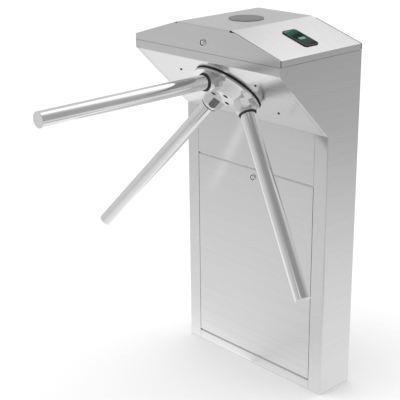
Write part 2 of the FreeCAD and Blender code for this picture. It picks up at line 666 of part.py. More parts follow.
def card_pad():
    cap = rod(PAD_RADIUS, HEIGHT, HEIGHT + PAD_HEIGHT, 0, PAD_Y)
    rim = [e for e in cap.Edges if e.BoundBox.ZMin > HEIGHT + PAD_HEIGHT / 2 and len(e.Vertexes) == 1]
    cap = cap.makeFillet(PAD_ROUNDING, rim)
    spigot = rod(PAD_RADIUS - PAD_SHOULDER - WELD_GAP, HEIGHT - SHEET - PAD_SPIGOT, HEIGHT, 0, PAD_Y)
    return cap.fuse(spigot)


def reader_body():
    rim = reader_block(0, 0, READER_HEIGHT)
    rim = rim.makeFillet(READER_ROUNDING, [e for e in rim.Edges if e.BoundBox.ZMin > READER_HEIGHT / 2])
    well = reader_block(READER_RIM, window_foot(), READER_HEIGHT)
    body = reader_block(READER_SHOULDER + READER_GAP, -READER_BODY_DEPTH, 0)
    return placed(rim.cut(well).fuse(body), ROOF_FRAME)


def window_foot():
    return READER_HEIGHT - WINDOW_SINK - WINDOW_THICKNESS


def sensor_block(gap, foot):
    return rounded_box(SENSOR_LENGTH + 2 * gap, SENSOR_WIDTH + 2 * gap, SENSOR_CORNER + gap, foot,
                       READER_HEIGHT + SENSOR_LIFT, READER_DOWN_SLOPE + SENSOR_DOWN, READER_Y)


def reader_window():
    pane = reader_block(READER_RIM + READER_GAP, window_foot(), READER_HEIGHT - WINDOW_SINK)
    return placed(pane.cut(sensor_block(READER_GAP, 0)), ROOF_FRAME)


def reader_sensor():
    lens = sensor_block(0, window_foot())
    top = [e for e in lens.Edges if e.BoundBox.ZMin > READER_HEIGHT]
    return placed(lens.makeFillet(SENSOR_ROUNDING, top), ROOF_FRAME)


def hinge_leaf(x, upward):
    thirds = HINGE_LENGTH / 3
    x0 = x - HINGE_LENGTH / 2
    knuckle_spans = [(x0 + thirds + HINGE_END_GAP, x0 + 2 * thirds - HINGE_END_GAP)] if upward else [
        (x0, x0 + thirds), (x0 + 2 * thirds, x0 + HINGE_LENGTH)]
    z0, z1 = (LID_FOOT_Z, HINGE_HEIGHT + LID_FOOT_Z) if upward else (SEAM_Z - HINGE_HEIGHT, SEAM_Z)
    leaf = box(x0, x0 + HINGE_LENGTH, BACK_Y, BACK_Y + HINGE_LEAF, z0, z1)
    relief = rod_x(HINGE_KNUCKLE + HINGE_RELIEF, x0, x0 + HINGE_LENGTH, HINGE_AXIS_Y, HINGE_AXIS_Z)
    knuckles = [leaf.cut(relief)]
    for a, b in knuckle_spans:
        barrel = rod_x(HINGE_KNUCKLE, a, b, HINGE_AXIS_Y, HINGE_AXIS_Z)
        low, high = sorted((HINGE_AXIS_Z, z1 if upward else z0))
        web = box(a, b, BACK_Y, BACK_Y + HINGE_LEAF, low + (LID_GAP if upward else 0), high)
        knuckles += [barrel, web]
    leaf = fuse_all(knuckles)
    return leaf.cut(rod_x(HINGE_PIN_RADIUS + RUNNING_GAP, x0, x0 + HINGE_LENGTH, HINGE_AXIS_Y, HINGE_AXIS_Z))


def hinge_pin(x):
    return rod_x(HINGE_PIN_RADIUS, x - HINGE_LENGTH / 2, x + HINGE_LENGTH / 2, HINGE_AXIS_Y, HINGE_AXIS_Z)


def lid_catch():
    x0 = CAM_WIDTH / 2 + CATCH_SIDE_GAP
    x1 = x0 + CATCH_WIDTH
    y0 = HEAD_Y + RETURN_DEPTH - CATCH_INSET
    y1 = HEAD_Y + LOCK_LENGTH + CATCH_REACH
    foot = LID_LOCK_Z + CAM_WIDTH / 2 + CATCH_LIFT
    top = foot + CATCH_THICKNESS
    upright = box(x0, x1, y0, y0 + CATCH_THICKNESS, SEAM_Z, top)
    finger = box(x0, x1, y0, y1, foot, top)
    return fuse_all([upright, finger])


# Rotor on the head, built in the head frame
def along_arm(angle):
    tilt = Rotation(Vector(1, 0, 0), -ARM_TILT)
    return Placement(Vector(0, 0, -APEX_DEPTH), Rotation(Vector(0, 0, 1), -angle).multiply(tilt))


def boss():
    body = polygon(BOSS_SIDES, BOSS_ACROSS, BOSS_START, BOSS_END)
    long_edges = [e for e in body.Edges if e.BoundBox.ZLength > 1]
    body = body.makeFillet(BOSS_ROUNDING, long_edges)
    corner = BOSS_ACROSS / 2 / math.cos(math.pi / BOSS_SIDES)
    taper_start = BOSS_END - BOSS_TAPER
    cone = Part.makeCone(corner, BOSS_END_RADIUS, BOSS_TAPER, Vector(0, 0, taper_start))
    return body.common(rod(corner, BOSS_START, taper_start).fuse(cone))


def tripod_hub():
    nose = Part.makeCone(NOSE_FOOT_RADIUS, NOSE_RADIUS, NOSE_HEIGHT, Vector(0, 0, DISC_FRONT))
    hub = nose.multiFuse([placed(boss(), along_arm(a)) for a in ARM_ANGLES]).removeSplitter()
    hub = hub.cut(rod(2 * DISC_RADIUS, -2 * DISC_RADIUS, DISC_FRONT))
    for angle in ARM_ANGLES:
        socket = rod(ARM_SPIGOT_RADIUS + FIT_GAP, BOSS_END - ARM_SOCKET, BOSS_END + GASKET)
        hub = hub.cut(placed(socket, along_arm(angle)))
    for x, y in bolt_places():
        hub = hub.cut(rod(HUB_BOLT_HEAD + HUB_BOLT_HEAD_GAP, bolt_seat(), NOSE_FACE + HUB_BOLT_HEAD_HEIGHT, x, y))
        hub = hub.cut(rod(HUB_BOLT_SHANK + HOLE_GAP, DISC_FRONT, NOSE_FACE, x, y))
    return hub


def bolt_seat():
    return NOSE_FACE - HUB_BOLT_HEAD_HEIGHT - HUB_BOLT_SINK


def bolt_places():
    turns = [math.radians(a + 60) for a in ARM_ANGLES]
    return [(HUB_BOLT_CIRCLE * math.sin(t), HUB_BOLT_CIRCLE * math.cos(t)) for t in turns]


def hub_bolts():
    bolts = []
    seat = bolt_seat()
    for x, y in bolt_places():
        head = rod(HUB_BOLT_HEAD, seat, seat + HUB_BOLT_HEAD_HEIGHT, x, y)
        socket = hexagon(HUB_BOLT_SOCKET, seat + HUB_BOLT_HEAD_HEIGHT / 2, seat + HUB_BOLT_HEAD_HEIGHT, x, y)
        shank = rod(HUB_BOLT_SHANK, FLANGE_BACK + HUB_BOLT_TAIL, seat, x, y)
        bolts.append(head.cut(socket).fuse(shank))
    return bolts


def bolt_holes(shape, low, high):
    for x, y in bolt_places():
        shape = shape.cut(rod(HUB_BOLT_SHANK + HOLE_GAP, low, high, x, y))
    return shape


def hub_disc():
    disc = rod(DISC_RADIUS, DISC_BACK, DISC_FRONT)
    disc = disc.makeFillet(RIM_ROUNDING, [e for e in disc.Edges if e.BoundBox.ZMin > DISC_FRONT - DISC_THICKNESS / 2])
    return bolt_holes(disc, DISC_BACK, DISC_FRONT)


def arm(angle):
    root = BOSS_END + GASKET
    tube = ring(ARM_RADIUS, ARM_RADIUS - ARM_WALL, root, ARM_TIP - ARM_CAP)
    plug = rod(ARM_RADIUS - ARM_WALL / 2, root, root + ARM_PLUG)
    spigot = rod(ARM_SPIGOT_RADIUS, root - ARM_SOCKET, root + ARM_PLUG / 2)
    return placed(fuse_all([tube, plug, spigot]), along_arm(angle))


def arm_end_cap(angle):
    cap = rod(ARM_RADIUS, ARM_TIP - ARM_CAP, ARM_TIP)
    cap = cap.makeFillet(CAP_ROUNDING, [e for e in cap.Edges if e.BoundBox.ZMin > ARM_TIP - ARM_CAP / 2])
    spigot = rod(ARM_RADIUS - ARM_WALL - HOLE_GAP, ARM_TIP - ARM_CAP - ARM_CAP_SPIGOT, ARM_TIP - ARM_CAP)
    return placed(cap.fuse(spigot), along_arm(angle))


def arm_gasket(angle):
    radius = ARM_RADIUS + GASKET_PROUD
    return placed(ring(radius, ARM_SPIGOT_RADIUS + FIT_GAP, BOSS_END, BOSS_END + GASKET), along_arm(angle))


def main_shaft():
    flange = rod(FLANGE_RADIUS, FLANGE_BACK, DISC_BACK)
    collar = rod(SHAFT_RADIUS + SHAFT_COLLAR, FRONT_BEARING_FRONT, FLANGE_BACK)
    journal = rod(SHAFT_RADIUS, HOUSING_BACK, FRONT_BEARING_FRONT)
    tail = rod(SHAFT_TAIL_RADIUS, NUT_BACK - SHAFT_END, HOUSING_BACK)
    shaft = fuse_all([flange, collar, journal, tail])
    return bolt_holes(shaft, FLANGE_BACK, DISC_BACK)


def bearing_fronts():
    return FRONT_BEARING_FRONT, REAR_BEARING_FRONT


def ball_circle():
    return (SHAFT_RADIUS + BEARING_RADIUS) / 2


def bearing_ring(outer, inner, front):
    blank = ring(outer, inner, front - BEARING_WIDTH, front)
    middle = Vector(0, 0, front - BEARING_WIDTH / 2)
    return blank.cut(Part.makeTorus(ball_circle(), BALL_RADIUS + BALL_GAP, middle))


def bearing_balls():
    balls = []
    for front in bearing_fronts():
        for k in range(BALL_COUNT):
            turn = 2 * math.pi * k / BALL_COUNT
            centre = Vector(ball_circle() * math.cos(turn), ball_circle() * math.sin(turn), front - BEARING_WIDTH / 2)
            balls.append(Part.makeSphere(BALL_RADIUS, centre))
    return balls


# Head mechanism behind the slope, built in the head frame
def mechanism_front_plate():
    half_x = SCREW_SPACING_X / 2 + PLATE_MARGIN_X
    half_u = SCREW_SPACING_U / 2 + PLATE_MARGIN_U
    plate = box(-half_x, half_x, SLANT_MIDDLE - half_u, SLANT_MIDDLE + half_u, FRONT_PLATE_BACK, -SHEET)
    plate = plate.cut(rod(FLANGE_RADIUS + FLANGE_CLEARANCE, FRONT_PLATE_BACK, -SHEET))
    for x, u in screw_places():
        plate = plate.cut(rod(SCREW_SHANK + WELD_GAP, FRONT_PLATE_BACK, -SHEET, x, u))
    return plate


def bearing_housing():
    flange_back = FRONT_PLATE_BACK - HOUSING_FLANGE_THICKNESS
    flange = rod(HOUSING_RADIUS + HOUSING_FLANGE, flange_back, FRONT_PLATE_BACK)
    body = rod(HOUSING_RADIUS, HOUSING_BACK, flange_back)
    housing = fuse_all([flange, body])
    housing = housing.cut(rod(BEARING_RADIUS - BEARING_LIP, HOUSING_BACK, FRONT_PLATE_BACK))
    front_seat = FRONT_BEARING_FRONT - BEARING_WIDTH
    housing = housing.cut(rod(BEARING_RADIUS + FIT_GAP, front_seat, FRONT_PLATE_BACK))
    return housing.cut(rod(BEARING_RADIUS + FIT_GAP, HOUSING_BACK, REAR_BEARING_FRONT))


def mechanism_rear_plate():
    half_x = SOLENOID_START + SOLENOID_LENGTH + SOLENOID_MARGIN_X
    foot = PLUNGER_U - SOLENOID_WIDTH / 2 - SOLENOID_MARGIN_U
    head = PINION_DISTANCE + DAMPER_RADIUS + DAMPER_MARGIN
    plate = box(-half_x, half_x, foot, head, REAR_PLATE_BACK, HOUSING_BACK)
    tab = box(-SPRING_TAB_HALF, SPRING_TAB_HALF, SPRING_POST_U - SPRING_TAB_END, PLUNGER_U, REAR_PLATE_BACK, HOUSING_BACK)
    plate = fuse_all([plate, tab])
    plate = plate.cut(rod(SHAFT_RADIUS + SHAFT_CLEARANCE, REAR_PLATE_BACK, HOUSING_BACK))
    return plate.cut(rod(PIVOT_RADIUS + DAMPER_SHAFT_GAP, REAR_PLATE_BACK, HOUSING_BACK, 0, PINION_DISTANCE))


def lock_disc():
    disc = rod(LOCK_RADIUS, LOCK_BACK, LOCK_FRONT)
    for k in range(LOCK_NOTCHES):
        notch = box(LOCK_RADIUS - NOTCH_DEPTH, LOCK_RADIUS + NOTCH_DEPTH, -NOTCH_WIDTH / 2, NOTCH_WIDTH / 2,
                    LOCK_BACK, LOCK_FRONT)
        notch.rotate(Vector(0, 0, 0), Vector(0, 0, 1), 360 * k / LOCK_NOTCHES)
        disc = disc.cut(notch)
    hub = rod(SHAFT_RADIUS + SHAFT_COLLAR, GEAR_FRONT, HOUSING_BACK)
    return fuse_all([disc, hub]).cut(rod(SHAFT_TAIL_RADIUS + FIT_GAP, GEAR_FRONT, HOUSING_BACK))


# A spur gear with arc flanks through three points of the involute, its first tooth on the local X axis
def gear(teeth, z0, z1, phase):
    pitch_radius = GEAR_MODULE * teeth / 2
    pressure = math.radians(PRESSURE_ANGLE)
    base_radius = pitch_radius * math.cos(pressure)
    tip_radius = pitch_radius + 0.9 * GEAR_MODULE
    root_radius = pitch_radius - 1.15 * GEAR_MODULE
    pitch_half_angle = (math.pi * GEAR_MODULE / 2 - BACKLASH / 2) / pitch_radius / 2

    def half_angle(radius):
        roll = math.acos(min(1.0, base_radius / radius))
        return pitch_half_angle + math.tan(pressure) - pressure - math.tan(roll) + roll

    low_radius = max(base_radius, root_radius)
    levels = [low_radius, (low_radius + tip_radius) / 2, tip_radius]

    def at(radius, angle):
        return Vector(radius * math.cos(angle), radius * math.sin(angle), z0)

    edges = []
    previous = None
    first = None
    for k in range(teeth):
        middle = phase + 2 * math.pi * k / teeth
        rising = [at(r, middle - half_angle(r)) for r in levels]
        falling = [at(r, middle + half_angle(r)) for r in reversed(levels)]
        entry = at(root_radius, middle - half_angle(low_radius))
        leave = at(root_radius, middle + half_angle(low_radius))
        if previous:
            edges.append(Part.LineSegment(previous, entry))
        else:
            first = entry
        if low_radius > root_radius:
            edges.append(Part.LineSegment(entry, rising[0]))
        edges.append(Part.Arc(*rising))
        edges.append(Part.LineSegment(rising[-1], falling[0]))
        edges.append(Part.Arc(*falling))
        if low_radius > root_radius:
            edges.append(Part.LineSegment(falling[-1], leave))
        previous = leave
    edges.append(Part.LineSegment(previous, first))
    wire = Part.Wire([e.toShape() for e in edges])
    return Part.Face(wire).extrude(Vector(0, 0, z1 - z0))


def drive_gear():
    return gear(GEAR_TEETH, GEAR_BACK, GEAR_FRONT, 0).cut(rod(SHAFT_TAIL_RADIUS + FIT_GAP, GEAR_BACK, GEAR_FRONT))


def pinion(u):
    blank = gear(PINION_TEETH, GEAR_BACK, GEAR_FRONT, math.pi / PINION_TEETH)
    blank.translate(Vector(0, u, 0))
    return blank


def damper_pinion():
    shaft_end = HOUSING_BACK + DAMPER_LENGTH - DAMPER_END - DAMPER_SHAFT_GAP
    shaft = rod(PIVOT_RADIUS, shaft_end, GEAR_FRONT, 0, PINION_DISTANCE)
    return fuse_all([pinion(PINION_DISTANCE), shaft])


def damper_body():
    can = rod(DAMPER_RADIUS, HOUSING_BACK, HOUSING_BACK + DAMPER_LENGTH, 0, PINION_DISTANCE)
    bore = rod(PIVOT_RADIUS + RUNNING_GAP, HOUSING_BACK, HOUSING_BACK + DAMPER_LENGTH - DAMPER_END, 0, PINION_DISTANCE)
    return can.cut(bore)


def homing_crank():
    disc = rod(CRANK_THROW + CRANK_RIM, CRANK_DISC_BACK, CRANK_DISC_FRONT, 0, -PINION_DISTANCE)
    neck = rod(CRANK_NECK_RADIUS, CRANK_DISC_FRONT, GEAR_BACK, 0, -PINION_DISTANCE)
    pin = rod(CRANK_PIN_RADIUS, PIN_END, CRANK_DISC_BACK, 0, -PINION_DISTANCE - CRANK_THROW)
    crank = fuse_all([pinion(-PINION_DISTANCE), neck, disc, pin])
    return crank.cut(rod(PIVOT_RADIUS + RUNNING_GAP, CRANK_DISC_BACK, GEAR_FRONT, 0, -PINION_DISTANCE))


def encoder_disc():
    disc = rod(ENCODER_RADIUS, ENCODER_BACK, ENCODER_FRONT)
    for k in range(ENCODER_SLOTS):
        outer = ENCODER_RADIUS - ENCODER_RIM
        slot = box(outer - ENCODER_SLOT, outer, -ENCODER_SLOT / 2, ENCODER_SLOT / 2, ENCODER_BACK, ENCODER_FRONT)
        slot.rotate(Vector(0, 0, 0), Vector(0, 0, 1), 360 * (k + 0.5) / ENCODER_SLOTS)
        disc = disc.cut(slot)
    hub = rod(SHAFT_RADIUS + SHAFT_COLLAR, NUT_FRONT, GEAR_BACK)
    return fuse_all([disc, hub]).cut(rod(SHAFT_TAIL_RADIUS + FIT_GAP, NUT_FRONT, GEAR_BACK))


def shaft_nut():
    return hexagon(NUT_ACROSS, NUT_BACK, NUT_FRONT).cut(rod(SHAFT_TAIL_RADIUS + FIT_GAP, NUT_BACK, NUT_FRONT))


def right_pawl():
    px = PAWL_PIVOT_X
    pu = PAWL_PIVOT_U
    lift = Vector(0, 0, PAWL_THICKNESS)
    inner = px - PAWL_WIDTH / 2
    outer = px + PAWL_WIDTH / 2
    tip = LOCK_RADIUS + PAWL_REST_GAP
    nose_high = NOTCH_WIDTH / 2 - PAWL_NOSE_GAP
    nose_low = nose_high - PAWL_NOSE
    foot = PLUNGER_U - PAWL_TAIL_END
    outline = [(inner, pu), (inner, nose_low), (tip, nose_low), (tip, nose_high), (outer, nose_high), (outer, pu),
               (outer, foot), (inner, foot)]
    bar = prism([Vector(x, u, PAWL_BACK) for x, u in outline], lift)
    hub = rod(PAWL_HUB_RADIUS, PAWL_BACK, PAWL_FRONT, px, pu)
    pin = rod(PAWL_PIN_RADIUS, PAWL_BACK - PAWL_PIN_LENGTH, PAWL_BACK, px, PLUNGER_U)
    pawl = fuse_all([bar, hub, pin])
    return pawl.cut(rod(PIVOT_RADIUS + RUNNING_GAP, PAWL_BACK, PAWL_FRONT, px, pu))


def right_plunger():
    low = PLUNGER_N - PLUNGER_BLADE / 2
    high = PLUNGER_N + PLUNGER_BLADE / 2
    half_x = PAWL_PIN_RADIUS + PLUNGER_SLOT_GAP
    half_u = PAWL_PIN_RADIUS + PLUNGER_SLOT_TRAVEL
    blade_end = PAWL_PIVOT_X + PLUNGER_BLADE_REACH
    core_end = SOLENOID_START + SOLENOID_LENGTH - SOLENOID_END - PLUNGER_STROKE_ROOM
    blade = box(PAWL_PIVOT_X - PLUNGER_BLADE_END, blade_end, PLUNGER_U - PLUNGER_RADIUS, PLUNGER_U + PLUNGER_RADIUS,
                low, high)
    slot = box(PAWL_PIVOT_X - half_x, PAWL_PIVOT_X + half_x, PLUNGER_U - half_u, PLUNGER_U + half_u, low, high)
    core = rod_x(PLUNGER_RADIUS, blade_end - PLUNGER_BLADE, core_end, PLUNGER_U, PLUNGER_N)
    return fuse_all([blade.cut(slot), core])


def right_solenoid():
    end = SOLENOID_START + SOLENOID_LENGTH
    half_u = SOLENOID_WIDTH / 2
    frame = box(SOLENOID_START, end, PLUNGER_U - half_u, PLUNGER_U + half_u, PLUNGER_N - SOLENOID_DEPTH, REAR_PLATE_BACK)
    bore = rod_x(PLUNGER_RADIUS + RUNNING_GAP, SOLENOID_START, end - SOLENOID_END, PLUNGER_U, PLUNGER_N)
    return frame.cut(bore)


def pivot_pins():
    pawl_pin = rod(PIVOT_RADIUS, PAWL_BACK - PIVOT_END, REAR_PLATE_BACK, PAWL_PIVOT_X, PAWL_PIVOT_U)
    crank_axle = rod(PIVOT_RADIUS, CRANK_DISC_BACK - PIVOT_END, REAR_PLATE_BACK, 0, -PINION_DISTANCE)
    spring_post = rod(SPRING_POST_RADIUS, PIN_END, REAR_PLATE_BACK, 0, SPRING_POST_U)
    posts = [rod(SENSOR_POST_RADIUS, SENSOR_BOARD_FRONT, REAR_PLATE_BACK, x, u) for x, u in SENSOR_POSTS]
    return [pawl_pin, mirrored(pawl_pin), crank_axle, spring_post] + posts


def sensor_board():
    board = box(*SENSOR_BOARD_X, *SENSOR_BOARD_U, SENSOR_BOARD_BACK, SENSOR_BOARD_FRONT)
    board = board.cut(rod(NUT_ACROSS / math.sqrt(3) + FLANGE_END_GAP, SENSOR_BOARD_BACK, SENSOR_BOARD_FRONT))
    eye = box(*SENSOR_EYE, *SENSOR_EYE, SENSOR_BOARD_FRONT, ENCODER_BACK - SENSOR_EYE_GAP)
    plug = box(*SENSOR_PLUG_X, *SENSOR_PLUG_U, SENSOR_BOARD_BACK - SENSOR_PLUG_HEIGHT, SENSOR_BOARD_BACK)
    return fuse_all([board, eye, plug])


# One smooth wire through points with given directions, each step two arcs that share a tangent
def biarc_edges(p0, t0, p1, t1):
    chord = p1 - p0
    both = t0 + t1
    along = chord.dot(both)
    spread = 2 * (1 - t0.dot(t1))
    if spread < 1e-9:
        reach = chord.dot(chord) / (4 * chord.dot(t1))
    else:
        reach = (-along + math.sqrt(along * along + spread * chord.dot(chord))) / spread
    joint = (p0 + p1 + (t0 - t1) * reach) * 0.5
    edges = []
    for start, knee, end in ((p0, p0 + t0 * reach, joint), (joint, p1 - t1 * reach, p1)):
        span = end - start
        if span.cross(knee - start).Length < 1e-6:
            edges.append(Part.LineSegment(start, end).toShape())
        else:
            half_turn = (knee - start).getAngle(span)
            rise = (knee - (start + end) * 0.5).normalize()
            middle = (start + end) * 0.5 + rise * (span.Length / 2 * math.tan(half_turn / 2))
            edges.append(Part.Arc(start, middle, end).toShape())
    return edges


# Least clear distance between stretches of the spring wire that lie half a turn or more apart along it
def least_self_gap(path):
    step = SPRING_WIRE / 2
    points = path.discretize(Distance=step)
    skip = round(math.pi * SPRING_RADIUS / step)
    nearest = min(p.distanceToPoint(q) for i, p in enumerate(points) for q in points[i + skip:])
    return nearest - 2 * SPRING_WIRE


def homing_spring():
    low = SPRING_POST_U + (-PINION_DISTANCE - CRANK_THROW - SPRING_POST_U - SPRING_TURNS * SPRING_PITCH) / 2
    rise = SPRING_PITCH / (2 * math.pi)
    stations = []

    def eye(centre_u, radius, angles):
        for degrees in angles:
            a = math.radians(degrees)
            point = Vector(radius * math.cos(a), centre_u + radius * math.sin(a), SPRING_N)
            stations.append((point, Vector(-math.sin(a), math.cos(a), 0)))

    eye(SPRING_POST_U, SPRING_POST_RADIUS + SPRING_WIRE + SPRING_EYE_GAP, (120, 180, 270, 360))
    for k in range(4 * SPRING_TURNS + 1):
        a = math.pi / 2 * k
        point = Vector(SPRING_RADIUS * math.cos(a), low + rise * a, SPRING_N + SPRING_RADIUS * math.sin(a))
        heading = Vector(-SPRING_RADIUS * math.sin(a), rise, SPRING_RADIUS * math.cos(a)).normalize()
        stations.append((point, heading))
    eye(-PINION_DISTANCE - CRANK_THROW, CRANK_PIN_RADIUS + SPRING_WIRE + SPRING_EYE_GAP, (0, 90, 180, 240))
    edges = []
    for (p0, t0), (p1, t1) in zip(stations, stations[1:]):
        edges += biarc_edges(p0, t0, p1, t1)
    path = Part.Wire(edges)
    print("homing_spring least gap to itself", round(least_self_gap(path), 2))
    start, heading = stations[0]
    section = Part.Wire(Part.Circle(start, heading, SPRING_WIRE).toShape())
    return Part.Solid(path.makePipeShell([section], True, False))


# Electronics in the column
def power_supply():
    size_x, size_y, size_z = SUPPLY_SIZE
    y1 = BACK_Y - SHEET
    case = box(SUPPLY_X - size_x / 2, SUPPLY_X + size_x / 2, y1 - size_y, y1, ELECTRONICS_Z, ELECTRONICS_Z + size_z)
    half_x = size_x / 2 - TERMINAL_MARGIN
    terminals = box(SUPPLY_X - half_x, SUPPLY_X + half_x, y1 - size_y, y1 - size_y / 2,
                    ELECTRONICS_Z, ELECTRONICS_Z + TERMINAL_HEIGHT)
    return case.cut(terminals)


def board_back():
    return BACK_Y - SHEET - BOARD_STANDOFF


def control_board():
    size_x, size_y, size_z = BOARD_SIZE
    face = board_back() - size_y
    board = box(BOARD_X - size_x / 2, BOARD_X + size_x / 2, face, board_back(), ELECTRONICS_Z, ELECTRONICS_Z + size_z)

    def part_on_board(size, x, z):
        width, height, depth = size
        return box(x, x + width, face - height, face, z, z + depth)

    relays = [part_on_board(RELAY_SIZE, BOARD_X + x, ELECTRONICS_Z + RELAY_Z) for x in RELAY_STARTS]
    start_x, start_z = PROCESSOR_START
    processor = part_on_board(PROCESSOR_SIZE, BOARD_X + start_x, ELECTRONICS_Z + start_z)
    width, reach, depth = PLUG_SIZE
    plug_top = ELECTRONICS_Z + size_z - PLUG_INSET
    plug = box(harness_x() - width / 2, harness_x() + width / 2, harness_y() - reach, face, plug_top - depth, plug_top)
    return fuse_all([board, processor, plug] + relays)


def board_standoffs():
    size_x, size_y, size_z = BOARD_SIZE
    half_x = size_x / 2 - STANDOFF_INSET
    half_z = size_z / 2 - STANDOFF_INSET
    middle_z = ELECTRONICS_Z + size_z / 2
    places = [(BOARD_X + x, middle_z + z) for x in (-half_x, half_x) for z in (-half_z, half_z)]
    return [rod_y(STANDOFF_RADIUS, board_back(), BACK_Y - SHEET, x, z) for x, z in places]


def harness_x():
    return SOLENOID_START + SOLENOID_LENGTH / 2


def harness_y():
    return board_back() - BOARD_THICKNESS - HARNESS_RADIUS - HARNESS_GAP


def wiring_harness():
    x = harness_x()
    y = harness_y()
    target = HEAD_FRAME.multVec(Vector(x, PLUNGER_U, PLUNGER_N - SOLENOID_DEPTH))
    inward = Vector(0, -math.sin(SLOPE), -math.cos(SLOPE))
    turn = math.pi - SLOPE
    arc_end_y = y - HARNESS_BEND + HARNESS_BEND * math.cos(turn)
    run = (arc_end_y - target.y) / math.sin(SLOPE)
    arc_end = Vector(x, arc_end_y, target.z + run * math.cos(SLOPE))
    arc_start = Vector(x, y, arc_end.z - HARNESS_BEND * math.sin(turn))
    arc_middle = Vector(x, y - HARNESS_BEND + HARNESS_BEND * math.cos(turn / 2),
                        arc_start.z + HARNESS_BEND * math.sin(turn / 2))
    foot = Vector(x, y, ELECTRONICS_Z + BOARD_SIZE[2] - PLUG_INSET)
    path = Part.Wire([Part.LineSegment(foot, arc_start).toShape(),
                      Part.Arc(arc_start, arc_middle, arc_end).toShape(),
                      Part.LineSegment(arc_end, arc_end + inward * run).toShape()])
    section = Part.Wire(Part.Circle(foot, Vector(0, 0, 1), HARNESS_RADIUS).toShape())
    return Part.Solid(path.makePipeShell([section], True, False))


os.makedirs("parts", exist_ok=True)

save("base_plate", base_plate())
save("cable_grommet", cable_grommet())
save("right_side_panel", right_side_panel())
save("left_side_panel", mirrored(right_side_panel()))
save("back_panel", back_panel())
save("front_upper_panel", front_upper_panel())
save("bottom_rail", bottom_rail())
save("slant_panel", slant_panel())
save_head("panel_screws", *panel_screws())
save_head("hub_seal_ring", hub_seal_ring())
save("lid_catch", lid_catch())
save("lid_hinge_body_leaf", hinge_leaf(-HINGE_X, False), hinge_leaf(HINGE_X, False))
save("lid_hinge_pin", hinge_pin(-HINGE_X), hinge_pin(HINGE_X))
save_head("mechanism_front_plate", mechanism_front_plate())
save_head("mechanism_rear_plate", mechanism_rear_plate())
save_head("bearing_housing", bearing_housing())
save_head("bearing_outer_rings", *[bearing_ring(BEARING_RADIUS, BEARING_RADIUS - BEARING_RING, z) for z in bearing_fronts()])
save_head("bearing_balls", *bearing_balls())
save_head("solenoid_right", right_solenoid())
save_head("solenoid_left", mirrored(right_solenoid()))
save_head("pivot_pins", *pivot_pins())
save_head("damper_body", damper_body())
save_head("sensor_board", sensor_board())
save_head("homing_spring", homing_spring())
save("power_supply", power_supply())
save("control_board", control_board())
save("board_standoffs", *board_standoffs())
save("wiring_harness", wiring_harness())
save_head("tripod_hub", tripod_hub())
save_head("hub_disc", hub_disc())
save_head("hub_bolts", *hub_bolts())
save_head("arm_front", arm(ARM_ANGLES[0]))
save_head("arm_right", arm(ARM_ANGLES[1]))
save_head("arm_left", arm(ARM_ANGLES[2]))
save_head("arm_end_caps", *[arm_end_cap(a) for a in ARM_ANGLES])
save_head("arm_gaskets", *[arm_gasket(a) for a in ARM_ANGLES])
save_head("main_shaft", main_shaft())
save_head("bearing_inner_rings",
          *[bearing_ring(SHAFT_RADIUS + BEARING_RING, SHAFT_RADIUS + FIT_GAP, z) for z in bearing_fronts()])
save_head("lock_disc", lock_disc())
save_head("drive_gear", drive_gear())
save_head("encoder_disc", encoder_disc())
save_head("shaft_nut", shaft_nut())
save_head("damper_pinion", damper_pinion())
save_head("homing_crank", homing_crank())
save_head("pawl_right", right_pawl())
save_head("pawl_left", mirrored(right_pawl()))
save_head("plunger_right", right_plunger())
save_head("plunger_left", mirrored(right_plunger()))
save("lid_shell", lid_shell())
save("card_pad", card_pad())
save("reader_body", reader_body())
save("reader_window", reader_window())
save("reader_sensor", reader_sensor())
save("lid_lock_barrel", *lock_barrel(HEAD_Y, LID_LOCK_Z))
save("lid_lock_plug", *lock_plug(HEAD_Y, LID_LOCK_Z, 180))
save("lid_hinge_lid_leaf", hinge_leaf(-HINGE_X, True), hinge_leaf(HINGE_X, True))
save("door_panel", door_panel())
save("door_lock_barrel", *lock_barrel(FRONT_Y, DOOR_LOCK_Z))
save("door_lock_plug", *lock_plug(FRONT_Y, DOOR_LOCK_Z, 90))
save("door_pivot_pins", *door_pivot_pins())
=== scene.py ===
import json
import math

import bmesh
import bpy
from mathutils import Matrix, Vector


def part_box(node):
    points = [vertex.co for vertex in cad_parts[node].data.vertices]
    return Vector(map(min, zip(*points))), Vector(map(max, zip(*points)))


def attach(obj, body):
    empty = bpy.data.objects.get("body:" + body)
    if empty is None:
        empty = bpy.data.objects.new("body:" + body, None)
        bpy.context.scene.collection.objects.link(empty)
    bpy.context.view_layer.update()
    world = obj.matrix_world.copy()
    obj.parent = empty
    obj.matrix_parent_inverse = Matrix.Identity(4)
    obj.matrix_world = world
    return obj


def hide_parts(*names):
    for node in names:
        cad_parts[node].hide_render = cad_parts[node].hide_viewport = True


# Tripod turnstile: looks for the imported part. Sizes are in metres, in the part's own frame, unless a
# comment says millimetres.
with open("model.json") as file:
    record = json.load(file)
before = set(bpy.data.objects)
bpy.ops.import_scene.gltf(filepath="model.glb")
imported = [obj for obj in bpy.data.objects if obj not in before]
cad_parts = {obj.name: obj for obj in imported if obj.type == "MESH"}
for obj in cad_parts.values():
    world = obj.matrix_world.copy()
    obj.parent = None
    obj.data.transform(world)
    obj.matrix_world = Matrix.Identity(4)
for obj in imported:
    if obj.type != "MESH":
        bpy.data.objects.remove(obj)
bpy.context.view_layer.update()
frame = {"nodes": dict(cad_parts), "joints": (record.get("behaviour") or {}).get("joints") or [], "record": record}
nodes = frame["nodes"]
joints = {joint["name"]: joint for joint in frame["joints"]}
node_slot = {entry["node"]: entry["material_slot"] for entry in frame["record"]["subparts"]}

MM = 0.001

